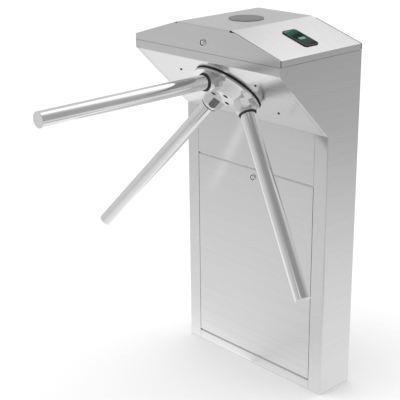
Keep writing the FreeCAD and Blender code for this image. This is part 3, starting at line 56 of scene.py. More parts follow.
# The part's directions, then the head's own: the rotor's axis out of the slope, and up the slope
ACROSS = Vector((1, 0, 0))
FRONT = Vector((0, -1, 0))
REAR = Vector((0, 1, 0))
HUB = Vector(joints["rotor_turn"]["pos_m"])
OUT = Vector(joints["rotor_turn"]["axis"]).normalized()
UP_SLOPE = OUT.cross(ACROSS)


# Turned profiles are written as (radius, distance along the axis) pairs in millimetres
def profile(*pairs):
    return [(radius * MM, distance * MM) for radius, distance in pairs]


# Homing spring, placed by the head's directions: a coil between the post's eye and the crank pin's eye
SPRING_POST_UP = -130 * MM
SPRING_PIN_UP = -76 * MM
SPRING_OUT = -101 * MM
SPRING_COIL = 5 * MM
SPRING_WIRE = 0.8 * MM
SPRING_TURNS = 10
SPRING_PITCH = 3 * MM
SPRING_LENGTH = SPRING_TURNS * SPRING_PITCH
SPRING_START = (SPRING_POST_UP + SPRING_PIN_UP - SPRING_LENGTH) / 2
SPRING_POST_EYE = 4.1 * MM
SPRING_PIN_EYE = 3.6 * MM
SPRING_STEPS = 24

# Wiring harness: the run up the column, the bend over to the solenoid, the twisted strands and their ties
HARNESS_X = 104 * MM
HARNESS_Y = 36.9 * MM
HARNESS_FOOT = 521 * MM
HARNESS_RISE = 289.5 * MM
HARNESS_BEND = 40 * MM
HARNESS_TURN = math.radians(135)
HARNESS_ARC = HARNESS_TURN * HARNESS_BEND
HARNESS_END = 12.6 * MM
HARNESS_LENGTH = HARNESS_RISE + HARNESS_ARC + HARNESS_END
HARNESS_STEPS = 200
STRANDS = 3
STRAND_OFFSET = 1.75 * MM
STRAND_RADIUS = 1.5 * MM
STRAND_LAY = 55 * MM
TIES = 6
TIE_OUTER = STRAND_OFFSET + STRAND_RADIUS + 0.5 * MM
TIE_INNER = TIE_OUTER - 1.2 * MM
TIE_EDGE = TIE_OUTER - 0.2 * MM
TIE_HALF = 1.6 * MM
KNOT_LOW = Vector((-1, -1.5, -1.5)) * MM
KNOT_HIGH = Vector((2, 1.5, 1.5)) * MM
KNOT_ROUNDING = 0.4 * MM

# Gasket lips, round the ends of the bosses that hold the arms
APEX_DEPTH = 44 * MM
ARM_ANGLES = (0, 120, -120)
BOSS_END = 112.5 * MM
LIP = profile((19.4, -0.1), (19.4, 1.6), (20.4, 1.5), (22.3, 0.35), (23.4, -2.5), (22.8, -2.5),
              (21.6, -0.1))

# Lid hinges: where the leaves are, and their domed rivets
HINGE_X = 150 * MM
HINGE_FACE = 59.2 * MM
HINGE_AXIS_Z = 915 * MM
HINGE_RIVET_STEP = 20 * MM
HINGE_RIVET_UP = 13 * MM
HINGE_RIVET = profile((2.8, 0.0), (2.7, 0.5), (2.1, 0.95), (1.1, 1.2), (0.3, 1.25))

# Door rebates: how far behind the door's face they stand, and their section
REBATE_BACK = 2.5 * MM
REBATE_DEPTH = 1.5 * MM
REBATE_HEIGHT = 1.2 * MM
REBATE_ROOT = 1.5 * MM
REBATE_GAP = 0.3 * MM
REBATE_ROUNDING = 0.2 * MM

# Locks: the middle of each barrel's face, the bezel on it, a dark ring of painted shade and a dark block of
# painted shade for the key slot
LID_LOCK_FACE = Vector((0, -238, 940)) * MM
DOOR_LOCK_FACE = Vector((0, -60, 554.5)) * MM
LOCK_BEZEL = profile((7.5, 0.0), (7.6, 0.7), (8.0, 1.2), (8.7, 1.3), (9.4, 0.9), (9.7, 0.0))
# Dark ring on the barrel's face: painted shade standing in for a recess round the plug
LOCK_PAINTED_SHADE_RING = profile((5.3, 0.0), (5.4, 0.2), (7.2, 0.4), (7.5, 0.0))
KEY_SLOT_HALF = Vector((0.6, 1.0, 2.8)) * MM
KEY_SLOT_BACK = 1.3 * MM
KEY_SLOT_ROUNDING = 0.3 * MM

# Control board: lower corners as (x, z) on the board and sizes as (x, y, z), in millimetres
BOARD_X = 95 * MM
BOARD_FACE = 44.9 * MM
ELECTRONICS_Z = 385 * MM
RELAYS = ((-60.3, 19.7), (-34.3, 19.7), (-8.3, 19.7))
RELAY_SIZE = (18.6, 15.4, 16.6)
RELAY_ROUNDING = 0.8
PROCESSOR = (-20.3, 59.7)
PROCESSOR_SIZE = (34.6, 4.3, 34.6)
PROCESSOR_ROUNDING = 0.6
STRIP = (26.0, 6.0)
STRIP_SIZE = (44.0, 10.0, 11.0)
STRIP_ROUNDING = 0.7
STRIP_SCREWS = 6
STRIP_SCREW_IN = 5.0
STRIP_SCREW_STEP = 6.8
STRIP_SCREW = profile((1.9, 0.0), (1.9, 0.5), (1.5, 0.9), (0.5, 0.9))
CAPACITORS = ((-58, 104), (-45, 104), (-58, 78), (44, 60), (58, 60))
CAPACITOR = profile((5.0, 0.0), (5.0, 1.2), (4.7, 1.6), (4.7, 2.0), (5.0, 2.4), (5.0, 11.0), (4.6, 11.6),
                    (3.6, 11.6), (3.4, 11.3))
LEGS = 10
LEG_OUT = 1.3
LEG_START = 62.5
LEG_STEP = 3.0
LEG_LIFT = 1.2 * MM
LEG_HALF = Vector((1.4, 1.0, 0.5)) * MM
LEG_ROUNDING = 0.2 * MM

# Power supply: the terminal block in the recess at its foot, with barriers between the screws
TERMINALS = 7
TERMINAL_MARGIN = 9 * MM
TERMINAL_STEP = 13.14 * MM
TERMINAL_FRONT = 4 * MM
TERMINAL_BACK = 19 * MM
TERMINAL_FOOT = 1 * MM
TERMINAL_TOP = 13.5 * MM
TERMINAL_ROUNDING = 0.6 * MM
TERMINAL_SCREW_UP = 7.2 * MM
TERMINAL_SCREW = profile((3.2, 0.0), (3.2, 0.8), (2.6, 1.4), (1.0, 1.4), (0.8, 1.0))
BARRIER_HALF = 0.6 * MM
BARRIER_PROUD = 2.5 * MM
BARRIER_ROOT = 1 * MM
BARRIER_ROUNDING = 0.3 * MM

# Meshes made here: edges sharper than this stay sharp
SHARP_ANGLE = math.radians(40)

# The photograph's camera
CAMERA_PLACE = Vector((1.7626, -1.8953, 1.4092))
CAMERA_AZIMUTH = math.radians(46.996)
CAMERA_ELEVATION = math.radians(19.833)
CAMERA_ROLL = math.radians(-0.692)
CAMERA_LENS = 90.84
CAMERA_REACH = 100.0
SENSOR_WIDTH = 36.0

# Light: the sky's light, the white that shows behind the floor, and the floor itself
SKY_LIGHT = 0.95
SKY_WHITE = 1.0
FLOOR_RADIUS = 14.0

# The room that the metal mirrors: rings of (radius, height), and greys at compass angles in degrees
ROOM_MIDDLE = (0.0, -0.06)
ROOM_RADIUS = 2.6
ROOM_FLOOR = 0.002
ROOM_STEPS = 96
ROOM_RINGS = ((0.001, ROOM_FLOOR), (0.5, ROOM_FLOOR), (1.0, ROOM_FLOOR), (1.5, ROOM_FLOOR),
              (2.0, ROOM_FLOOR), (ROOM_RADIUS, ROOM_FLOOR), (ROOM_RADIUS, 0.6), (ROOM_RADIUS, 1.2),
              (ROOM_RADIUS, 1.5), (ROOM_RADIUS, 1.8), (2.55, 2.1), (2.5, 2.4), (2.2, 3.0), (1.6, 3.6),
              (0.8, 3.95), (0.02, 4.05))
FOOT_GREYS = ((-137, 0.95), (-90, 0.84), (-40, 0.92), (40, 1.08), (90, 1.05), (150, 1.20), (180, 1.20),
              (205, 1.0))
EDGE_GREYS = ((-137, 0.69), (-90, 0.48), (-40, 0.50), (40, 0.55), (90, 0.60), (150, 0.85), (180, 0.80),
              (205, 0.70))
WALL_GREYS = ((-137, 0.66), (-100, 0.52), (-70, 0.40), (-20, 0.36), (40, 0.40), (81, 0.62), (115, 0.60),
              (137, 0.64), (180, 0.62))
TOP_GREYS = ((-150, 0.52), (-104, 0.48), (-88, 0.34), (-42, 0.30), (18, 0.31), (39, 0.50), (58, 1.10),
             (90, 1.30), (118, 1.25), (129, 0.66), (180, 0.58))
FLOOR_FADE = 0.9
EYE_HEIGHT = 0.8
TOP_FADE_START = 12
TOP_FADE_SPAN = 33
CARD_ANGLE = -75
CARD_RISE = 24
CARD_SPREAD = 5
CARD_GREY = 0.95
PATCH_LIFT = 0.004
PATCH_RINGS = (0.02, 0.5, 1.0, 1.25, 1.5, 1.75, 2.0)


def head_point(across, up, out):
    return HUB + ACROSS * across + UP_SLOPE * up + OUT * out


# Helpers for node materials
def new_material(name):
    material = bpy.data.materials.new(name)
    material.use_nodes = True
    return material, material.node_tree, material.node_tree.nodes["Principled BSDF"]


def place_on_object(tree):
    return tree.nodes.new("ShaderNodeTexCoord").outputs["Object"]


def noise(tree, stretch, detail):
    mapping = tree.nodes.new("ShaderNodeMapping")
    mapping.inputs["Scale"].default_value = stretch
    texture = tree.nodes.new("ShaderNodeTexNoise")
    texture.inputs["Scale"].default_value = 1.0
    texture.inputs["Detail"].default_value = detail
    tree.links.new(place_on_object(tree), mapping.inputs["Vector"])
    tree.links.new(mapping.outputs["Vector"], texture.inputs["Vector"])
    return texture.outputs["Fac"]


def cells(tree, scale, feature, randomness=1.0):
    texture = tree.nodes.new("ShaderNodeTexVoronoi")
    texture.feature = feature
    texture.inputs["Scale"].default_value = scale
    texture.inputs["Randomness"].default_value = randomness
    tree.links.new(place_on_object(tree), texture.inputs["Vector"])
    return texture.outputs["Distance"]


def waves(tree, scale, direction, distortion):
    texture = tree.nodes.new("ShaderNodeTexWave")
    texture.bands_direction = direction
    texture.inputs["Scale"].default_value = scale
    texture.inputs["Distortion"].default_value = distortion
    tree.links.new(place_on_object(tree), texture.inputs["Vector"])
    return texture.outputs["Fac"]


def colours(tree, factor, socket, *stops):
    ramp = tree.nodes.new("ShaderNodeValToRGB")
    elements = ramp.color_ramp.elements
    while len(elements) < len(stops):
        elements.new(0.5)
    for element, (position, colour) in zip(elements, stops):
        element.position = position
        element.color = (*colour, 1.0)
    tree.links.new(factor, ramp.inputs["Fac"])
    tree.links.new(ramp.outputs["Color"], socket)


def values(tree, factor, socket, low, high, start=0.3, end=0.7):
    span = tree.nodes.new("ShaderNodeMapRange")
    span.inputs["From Min"].default_value = start
    span.inputs["From Max"].default_value = end
    span.inputs["To Min"].default_value = low
    span.inputs["To Max"].default_value = high
    tree.links.new(factor, span.inputs["Value"])
    tree.links.new(span.outputs["Result"], socket)


def bump(tree, shader, height, depth, strength):
    node = tree.nodes.new("ShaderNodeBump")
    node.inputs["Distance"].default_value = depth
    node.inputs["Strength"].default_value = strength
    tree.links.new(height, node.inputs["Height"])
    tree.links.new(node.outputs["Normal"], shader.inputs["Normal"])


def grey(value):
    return (value, value, value)


def even(scale):
    return (scale, scale, scale)


# Materials, one function for each finish
def brushed_steel(name, grain_axis):
    material, tree, shader = new_material(name)
    fine = [900.0, 900.0, 900.0]
    broad = [70.0, 70.0, 70.0]
    fine[grain_axis] = 9.0
    broad[grain_axis] = 1.2
    hairlines = noise(tree, fine, detail=2.0)
    streaks = noise(tree, broad, detail=4.0)
    handling = noise(tree, even(5.0), detail=5.0)
    colours(tree, streaks, shader.inputs["Base Color"], (0.25, grey(0.69)), (0.75, grey(0.72)))
    values(tree, handling, shader.inputs["Roughness"], 0.16, 0.20)
    bump(tree, shader, hairlines, depth=0.00001, strength=0.2)
    shader.inputs["Metallic"].default_value = 1.0
    return material


def hub_steel():
    material, tree, shader = new_material("hub_steel")
    turning = noise(tree, even(700.0), detail=2.0)
    clouds = noise(tree, even(30.0), detail=4.0)
    colours(tree, clouds, shader.inputs["Base Color"], (0.3, grey(0.72)), (0.7, grey(0.78)))
    values(tree, clouds, shader.inputs["Roughness"], 0.04, 0.08)
    bump(tree, shader, turning, depth=0.00001, strength=0.3)
    shader.inputs["Metallic"].default_value = 1.0
    return material


def polished_steel():
    material, tree, shader = new_material("polished_steel")
    smears = noise(tree, even(14.0), detail=5.0)
    scratches = noise(tree, (400.0, 400.0, 30.0), detail=2.0)
    colours(tree, smears, shader.inputs["Base Color"], (0.3, grey(0.86)), (0.7, grey(0.90)))
    values(tree, smears, shader.inputs["Roughness"], 0.05, 0.10)
    bump(tree, shader, scratches, depth=0.000004, strength=0.3)
    shader.inputs["Metallic"].default_value = 1.0
    return material


def black_rubber():
    material, tree, shader = new_material("black_rubber")
    grain = noise(tree, even(1500.0), detail=2.0)
    dust = noise(tree, even(60.0), detail=5.0)
    colours(tree, dust, shader.inputs["Base Color"], (0.35, grey(0.012)), (0.75, grey(0.03)))
    values(tree, dust, shader.inputs["Roughness"], 0.55, 0.75)
    bump(tree, shader, grain, depth=0.00005, strength=0.6)
    return material


def dark_fastener():
    material, tree, shader = new_material("dark_fastener")
    wear = noise(tree, even(500.0), detail=4.0)
    colours(tree, wear, shader.inputs["Base Color"], (0.35, grey(0.035)), (0.75, grey(0.09)))
    values(tree, wear, shader.inputs["Roughness"], 0.30, 0.5)
    shader.inputs["Metallic"].default_value = 0.8
    return material


def pad_plastic():
    material, tree, shader = new_material("pad_plastic")
    grain = cells(tree, 1300.0, "F1")
    tone = noise(tree, even(90.0), detail=6.0)
    colours(tree, tone, shader.inputs["Base Color"], (0.3, grey(0.15)), (0.7, grey(0.19)))
    values(tree, tone, shader.inputs["Roughness"], 0.42, 0.55)
    bump(tree, shader, grain, depth=0.00008, strength=0.5)
    return material


def reader_plastic():
    material, tree, shader = new_material("reader_plastic")
    grain = noise(tree, even(1800.0), detail=2.0)
    tone = noise(tree, even(40.0), detail=4.0)
    colours(tree, tone, shader.inputs["Base Color"], (0.3, grey(0.022)), (0.7, grey(0.034)))
    values(tree, tone, shader.inputs["Roughness"], 0.25, 0.4)
    bump(tree, shader, grain, depth=0.00002, strength=0.4)
    shader.inputs["Specular IOR Level"].default_value = 0.2
    return material


# Smoked glass with painted light in slanting bands: a painted reflection in a pale corner, a painted glow, black,
# the sensor's painted halo, slate
def reader_gloss():
    material, tree, shader = new_material("reader_gloss")
    low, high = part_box("reader_window")
    middle = (low + high) / 2
    length = high.x - low.x
    slant = math.radians(-16)
    start = 0.5 - (math.cos(slant) * middle.x - math.sin(slant) * middle.y) / length
    mapping = tree.nodes.new("ShaderNodeMapping")
    mapping.inputs["Location"].default_value = (start, 0, 0)
    mapping.inputs["Rotation"].default_value = (0, 0, slant)
    mapping.inputs["Scale"].default_value = even(1 / length)
    painted_light_bands = tree.nodes.new("ShaderNodeTexGradient")
    tree.links.new(place_on_object(tree), mapping.inputs["Vector"])
    tree.links.new(mapping.outputs["Vector"], painted_light_bands.inputs["Vector"])
    black = (0.001, 0.003, 0.002)
    # Emission bands are painted light: the pale corner is a painted reflection, the glow and halo are painted glow
    # of the sensor's light
    colours(tree, painted_light_bands.outputs["Fac"], shader.inputs["Emission Color"],
            (0.02, (0.09, 0.19, 0.14)), (0.10, (0.01, 0.10, 0.06)), (0.20, (0.003, 0.085, 0.045)),
            (0.34, black), (0.46, black), (0.60, (0.0, 0.07, 0.038)), (0.70, black))
    shader.inputs["Emission Strength"].default_value = 1.0
    # Base colour bands: the slate band is partly the glass's own tint, partly a painted reflection
    colours(tree, painted_light_bands.outputs["Fac"], shader.inputs["Base Color"],
            (0.60, (0.004, 0.007, 0.006)), (0.72, (0.035, 0.046, 0.048)), (0.88, (0.030, 0.038, 0.040)),
            (0.98, (0.006, 0.008, 0.008)))
    smears = noise(tree, even(60.0), detail=3.0)
    values(tree, smears, shader.inputs["Roughness"], 0.06, 0.12)
    shader.inputs["Specular IOR Level"].default_value = 0.01
    return material


def sensor_green():
    material, tree, shader = new_material("sensor_green")
    glow = noise(tree, even(220.0), detail=2.0)
    colours(tree, glow, shader.inputs["Emission Color"],
            (0.3, (0.0, 0.16, 0.08)), (0.7, (0.04, 0.32, 0.17)))
    shader.inputs["Emission Strength"].default_value = 0.8
    colours(tree, glow, shader.inputs["Base Color"],
            (0.3, (0.0, 0.05, 0.025)), (0.7, (0.01, 0.12, 0.06)))
    values(tree, glow, shader.inputs["Roughness"], 0.1, 0.2)
    return material


def zinc_steel():
    material, tree, shader = new_material("zinc_steel")
    spangle = cells(tree, 160.0, "F1")
    film = noise(tree, even(25.0), detail=5.0)
    colours(tree, film, shader.inputs["Base Color"],
            (0.3, (0.50, 0.52, 0.53)), (0.7, (0.62, 0.62, 0.58)))
    values(tree, spangle, shader.inputs["Roughness"], 0.30, 0.45, start=0.0, end=0.8)
    bump(tree, shader, film, depth=0.00003, strength=0.4)
    shader.inputs["Metallic"].default_value = 1.0
    return material


def shaft_steel():
    material, tree, shader = new_material("shaft_steel")
    grinding = noise(tree, even(600.0), detail=2.0)
    oil = noise(tree, even(40.0), detail=4.0)
    colours(tree, oil, shader.inputs["Base Color"], (0.3, grey(0.58)), (0.7, grey(0.68)))
    values(tree, oil, shader.inputs["Roughness"], 0.12, 0.25)
    bump(tree, shader, grinding, depth=0.00001, strength=0.3)
    shader.inputs["Metallic"].default_value = 1.0
    return material


def cast_housing():
    material, tree, shader = new_material("cast_housing")
    sand = noise(tree, even(900.0), detail=4.0)
    tone = noise(tree, even(30.0), detail=5.0)
    colours(tree, tone, shader.inputs["Base Color"], (0.3, grey(0.42)), (0.7, grey(0.52)))
    values(tree, tone, shader.inputs["Roughness"], 0.45, 0.6)
    bump(tree, shader, sand, depth=0.00015, strength=0.6)
    shader.inputs["Metallic"].default_value = 0.9
    return material


def gear_brass():
    material, tree, shader = new_material("gear_brass")
    tarnish = noise(tree, even(70.0), detail=5.0)
    colours(tree, tarnish, shader.inputs["Base Color"],
            (0.3, (0.52, 0.34, 0.11)), (0.7, (0.74, 0.54, 0.23)))
    values(tree, tarnish, shader.inputs["Roughness"], 0.2, 0.36)
    shader.inputs["Metallic"].default_value = 1.0
    return material


def coil_black():
    material, tree, shader = new_material("coil_black")
    tape = waves(tree, 60.0, "X", distortion=0.6)
    tone = noise(tree, even(50.0), detail=4.0)
    colours(tree, tone, shader.inputs["Base Color"], (0.3, grey(0.02)), (0.7, grey(0.04)))
    values(tree, tape, shader.inputs["Roughness"], 0.3, 0.5, start=0.0, end=1.0)
    bump(tree, shader, tape, depth=0.0002, strength=0.5)
    return material


def board_green():
    material, tree, shader = new_material("board_green")
    tracks = cells(tree, 190.0, "DISTANCE_TO_EDGE", randomness=0.4)
    colours(tree, tracks, shader.inputs["Base Color"],
            (0.05, (0.03, 0.19, 0.08)), (0.12, (0.012, 0.085, 0.035)))
    values(tree, tracks, shader.inputs["Roughness"], 0.2, 0.35, start=0.0, end=0.3)
    bump(tree, shader, tracks, depth=0.00005, strength=0.4)
    shader.inputs["Coat Weight"].default_value = 0.3
    return material


def supply_metal():
    material, tree, shader = new_material("supply_metal")
    vents = cells(tree, 150.0, "F1", randomness=0.0)
    tone = noise(tree, even(40.0), detail=4.0)
    # The vent holes are painted: near-black spots are painted shade inside the holes, with a bump for their edges
    colours(tree, vents, shader.inputs["Base Color"], (0.30, grey(0.03)), (0.34, grey(0.55)))
    values(tree, tone, shader.inputs["Roughness"], 0.3, 0.42)
    bump(tree, shader, vents, depth=0.0004, strength=0.5)
    shader.inputs["Metallic"].default_value = 0.95
    return material


def cable_black():
    material, tree, shader = new_material("cable_black")
    braid = waves(tree, 420.0, "DIAGONAL", distortion=1.5)
    colours(tree, braid, shader.inputs["Base Color"], (0.2, grey(0.012)), (0.8, grey(0.035)))
    values(tree, braid, shader.inputs["Roughness"], 0.45, 0.65, start=0.0, end=1.0)
    bump(tree, shader, braid, depth=0.0003, strength=0.7)
    return material


# One finish for each material slot. The side panels have their grain the other way.
finishes = {
    "brushed_steel": brushed_steel("brushed_steel_across", 0),
    "hub_steel": hub_steel(),
    "polished_steel": polished_steel(),
    "black_rubber": black_rubber(),
    "dark_fastener": dark_fastener(),
    "pad_plastic": pad_plastic(),
    "reader_plastic": reader_plastic(),
    "reader_gloss": reader_gloss(),
    "sensor_green": sensor_green(),
    "zinc_steel": zinc_steel(),
    "shaft_steel": shaft_steel(),
    "cast_housing": cast_housing(),
    "gear_brass": gear_brass(),
    "coil_black": coil_black(),
    "board_green": board_green(),
    "supply_metal": supply_metal(),
    "cable_black": cable_black(),
}
side_steel = brushed_steel("brushed_steel_along", 1)

for name, node in nodes.items():
    node.data.materials.clear()
    node.data.materials.append(side_steel if name.endswith("side_panel") else finishes[node_slot[name]])


# Helpers for the pieces built here
def piece(name, data, body, slot):
    obj = bpy.data.objects.new(name, data)
    bpy.context.scene.collection.objects.link(obj)
    data.materials.append(finishes[slot])
    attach(obj, body)
    return obj


def mesh_piece(name, sheet, body, slot):
    mesh = bpy.data.meshes.new(name)
    bmesh.ops.recalc_face_normals(sheet, faces=sheet.faces)
    sheet.to_mesh(mesh)
    sheet.free()
    mesh.set_sharp_from_angle(angle=SHARP_ANGLE)
    piece(name, mesh, body, slot)


# Turns a profile round an axis; a closed profile makes a ring
def lathe(sheet, outline, base, axis, segments, closed=False):
    along = axis.normalized()
    first = along.orthogonal().normalized()
    second = along.cross(first)
    rings = []
    for radius, distance in outline:
        ring = []
        for k in range(segments):
            turn = 2 * math.pi * k / segments
            spoke = first * math.cos(turn) + second * math.sin(turn)
            ring.append(sheet.verts.new(base + along * distance + spoke * radius))
        rings.append(ring)
    pairs = list(zip(rings, rings[1:]))
    if closed:
        pairs.append((rings[-1], rings[0]))
    else:
        sheet.faces.new(rings[0])
        sheet.faces.new(rings[-1])
    for low, high in pairs:
        for k in range(segments):
            after = (k + 1) % segments
            sheet.faces.new((low[k], low[after], high[after], high[k]))


def block(sheet, low, high, rounding):
    size = Vector(high) - Vector(low)
    middle = (Vector(high) + Vector(low)) / 2
    shape = Matrix.Translation(middle) @ Matrix.Diagonal((*size, 1.0))
    made = bmesh.ops.create_cube(sheet, size=1.0, matrix=shape)
    edges = list(dict.fromkeys(edge for vert in made["verts"] for edge in vert.link_edges))
    bmesh.ops.bevel(sheet, geom=edges, offset=rounding, segments=3, profile=0.5, affect="EDGES")


def wires(name, routes, radius, body, slot):
    curve = bpy.data.curves.new(name, "CURVE")
    curve.dimensions = "3D"
    curve.bevel_depth = radius
    curve.bevel_resolution = 3
    curve.use_fill_caps = True
    for route in routes:
        spline = curve.splines.new("POLY")
        spline.points.add(len(route) - 1)
        for point, place in zip(spline.points, route):
            point.co = (*place, 1.0)
    return piece(name, curve, body, slot)


# Homing spring: a wound coil between the post and the crank's pin, with an eye at each end
def homing_spring():
    route = []

    def eye(centre, radius, start, end):
        for k in range(SPRING_STEPS + 1):
            turn = math.radians(start + (end - start) * k / SPRING_STEPS)
            up = centre + radius * math.sin(turn)
            route.append(head_point(radius * math.cos(turn), up, SPRING_OUT))

    eye(SPRING_POST_UP, SPRING_POST_EYE, start=120, end=345)
    steps = SPRING_STEPS * SPRING_TURNS
    for k in range(steps + 1):
        turn = 2 * math.pi * SPRING_TURNS * k / steps
        up = SPRING_START + SPRING_LENGTH * k / steps
        out = SPRING_OUT + SPRING_COIL * math.sin(turn)
        route.append(head_point(SPRING_COIL * math.cos(turn), up, out))
    eye(SPRING_PIN_UP, SPRING_PIN_EYE, start=15, end=240)
    spring = wires("homing_spring_coil", [route], SPRING_WIRE, "cabinet", "shaft_steel")
    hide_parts("homing_spring")


# Wiring harness: twisted wires up the back of the column and over to the right solenoid
def harness_path(distance):
    if distance < HARNESS_RISE:
        return Vector((HARNESS_X, HARNESS_Y, HARNESS_FOOT + distance)), Vector((0, 0, 1))
    turn = min(distance - HARNESS_RISE, HARNESS_ARC) / HARNESS_BEND
    place = Vector((HARNESS_X, HARNESS_Y - HARNESS_BEND * (1 - math.cos(turn)),
                    HARNESS_FOOT + HARNESS_RISE + HARNESS_BEND * math.sin(turn)))
    heading = Vector((0, -math.sin(turn), math.cos(turn)))
    return place + heading * max(0.0, distance - HARNESS_RISE - HARNESS_ARC), heading


def wiring_harness():
    routes = []
    for strand in range(STRANDS):
        route = []
        for k in range(HARNESS_STEPS + 1):
            distance = HARNESS_LENGTH * k / HARNESS_STEPS
            place, heading = harness_path(distance)
            turn = 2 * math.pi * (strand / STRANDS + distance / STRAND_LAY)
            side = ACROSS.cross(heading)
            route.append(place + (ACROSS * math.cos(turn) + side * math.sin(turn)) * STRAND_OFFSET)
        routes.append(route)
    harness = wires("harness_strands", routes, STRAND_RADIUS, "cabinet", "cable_black")
    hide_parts("wiring_harness")
    harness_ties()


# All the bands come before the knots, so that the mesh is in the same order at every run
def harness_ties():
    sheet = bmesh.new()
    tie = ((TIE_INNER, -TIE_HALF), (TIE_EDGE, -TIE_HALF), (TIE_OUTER, 0),
           (TIE_EDGE, TIE_HALF), (TIE_INNER, TIE_HALF))
    stations = [harness_path(HARNESS_LENGTH * (k + 0.5) / TIES) for k in range(TIES)]
    for place, heading in stations:
        lathe(sheet, tie, place, heading, segments=20, closed=True)
    for place, heading in stations:
        knot = place + ACROSS * TIE_OUTER
        block(sheet, knot + KNOT_LOW, knot + KNOT_HIGH, KNOT_ROUNDING)
    mesh_piece("harness_ties", sheet, "cabinet", "coil_black")


# Gaskets: a moulded rubber lip round the end of each boss, where the arm goes in
def gasket_lips():
    sheet = bmesh.new()
    apex = head_point(0, 0, -APEX_DEPTH)
    for angle in ARM_ANGLES:
        turn = math.radians(angle)
        arm = (ACROSS * math.sin(turn) + UP_SLOPE * math.cos(turn) + OUT).normalized()
        lathe(sheet, LIP, apex + arm * BOSS_END, arm, segments=48, closed=True)
    mesh_piece("gasket_lips", sheet, "rotor", "black_rubber")


# Hinges: three domed rivets in each leaf
def hinge_rivets(name, body):
    up = 1 if body == "lid" else -1
    sheet = bmesh.new()
    for side in (-1, 1):
        for k in (-1, 0, 1):
            x = side * HINGE_X + k * HINGE_RIVET_STEP
            base = Vector((x, HINGE_FACE, HINGE_AXIS_Z + up * HINGE_RIVET_UP))
            lathe(sheet, HINGE_RIVET, base, REAR, segments=20)
    mesh_piece(name, sheet, body, "zinc_steel")


# Door rebates: thin steel strips that close the door's top and bottom gaps, just behind the face
def door_rebates():
    low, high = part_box("door_panel")
    front = low.y + REBATE_BACK
    back = front + REBATE_DEPTH
    left = low.x - REBATE_HEIGHT
    right = high.x + REBATE_HEIGHT
    sheet = bmesh.new()
    top = high.z + REBATE_HEIGHT
    block(sheet, (left, front, high.z - REBATE_ROOT), (right, back, top), REBATE_ROUNDING)
    mesh_piece("door_top_rebate", sheet, "door", "brushed_steel")
    sheet = bmesh.new()
    top = low.z - REBATE_GAP
    foot = top - REBATE_HEIGHT - REBATE_ROOT / 2
    block(sheet, (left, front, foot), (right, back, top), REBATE_ROUNDING)
    mesh_piece("rail_rebate", sheet, "cabinet", "brushed_steel")


# Locks: a rounded bezel on the barrel's face, a dark ring inside it that is painted shade of a recess, and a dark
# block in the key slot that is painted shade
def lock(name, face, body, plug_body):
    sheet = bmesh.new()
    lathe(sheet, LOCK_BEZEL, face, FRONT, segments=48, closed=True)
    mesh_piece(name + "_bezel", sheet, body, "polished_steel")
    sheet = bmesh.new()
    # A dark ring of painted shade, where a recess round the plug would fall into shadow
    lathe(sheet, LOCK_PAINTED_SHADE_RING, face, FRONT, segments=48, closed=True)
    mesh_piece(name + "_painted_shade_ring", sheet, body, "dark_fastener")
    sheet = bmesh.new()
    # A dark block inside the key slot: painted shade of the slot's depth
    middle = face + REAR * KEY_SLOT_BACK
    block(sheet, middle - KEY_SLOT_HALF, middle + KEY_SLOT_HALF, KEY_SLOT_ROUNDING)
    mesh_piece(name + "_key_slot_painted_shade", sheet, plug_body, "dark_fastener")


# Control board: relay and processor covers and a terminal strip, then capacitors, screws and legs
def board_place(x, z):
    return Vector((BOARD_X + x * MM, BOARD_FACE, ELECTRONICS_Z + z * MM))


def board_block(sheet, corner, size, rounding):
    low = board_place(*corner) + FRONT * (size[1] * MM)
    block(sheet, low, low + Vector(size) * MM, rounding * MM)


def board_housings():
    sheet = bmesh.new()
    for relay in RELAYS:
        board_block(sheet, relay, RELAY_SIZE, RELAY_ROUNDING)
    board_block(sheet, PROCESSOR, PROCESSOR_SIZE, PROCESSOR_ROUNDING)
    board_block(sheet, STRIP, STRIP_SIZE, STRIP_ROUNDING)
    mesh_piece("board_housings", sheet, "cabinet", "coil_black")


def board_metal():
    sheet = bmesh.new()
    for x, z in CAPACITORS:
        lathe(sheet, CAPACITOR, board_place(x, z), FRONT, segments=28)
    for k in range(STRIP_SCREWS):
        x = STRIP[0] + STRIP_SCREW_IN + STRIP_SCREW_STEP * k
        base = board_place(x, STRIP[1] + STRIP_SIZE[2] / 2) + FRONT * (STRIP_SIZE[1] * MM)
        lathe(sheet, STRIP_SCREW, base, FRONT, segments=16)
    half_width = PROCESSOR_SIZE[0] / 2
    for side in (-1, 1):
        for k in range(LEGS):
            x = PROCESSOR[0] + half_width + side * (half_width + LEG_OUT)
            leg = board_place(x, LEG_START + LEG_STEP * k) + FRONT * LEG_LIFT
            block(sheet, leg - LEG_HALF, leg + LEG_HALF, LEG_ROUNDING)
    mesh_piece("board_metal", sheet, "cabinet", "shaft_steel")


# Power supply: a terminal block with its screws in the recess at the foot
def supply_terminals():
    low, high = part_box("power_supply")
    left = low.x + TERMINAL_MARGIN
    right = high.x - TERMINAL_MARGIN
    front = low.y + TERMINAL_FRONT
    back = low.y + TERMINAL_BACK
    foot = low.z + TERMINAL_FOOT
    top = low.z + TERMINAL_TOP
    sheet = bmesh.new()
    block(sheet, (left, front, foot), (right, back, top), TERMINAL_ROUNDING)
    for k in range(TERMINALS + 1):
        x = left + TERMINAL_STEP * k
        near = (x - BARRIER_HALF, front - BARRIER_PROUD, foot)
        far = (x + BARRIER_HALF, front + BARRIER_ROOT, top)
        block(sheet, near, far, BARRIER_ROUNDING)
    mesh_piece("supply_terminal_block", sheet, "cabinet", "coil_black")
    sheet = bmesh.new()
    for k in range(TERMINALS):
        base = Vector((left + TERMINAL_STEP * (k + 0.5), front, low.z + TERMINAL_SCREW_UP))
        lathe(sheet, TERMINAL_SCREW, base, FRONT, segments=20)
    mesh_piece("supply_terminal_screws", sheet, "cabinet", "shaft_steel")


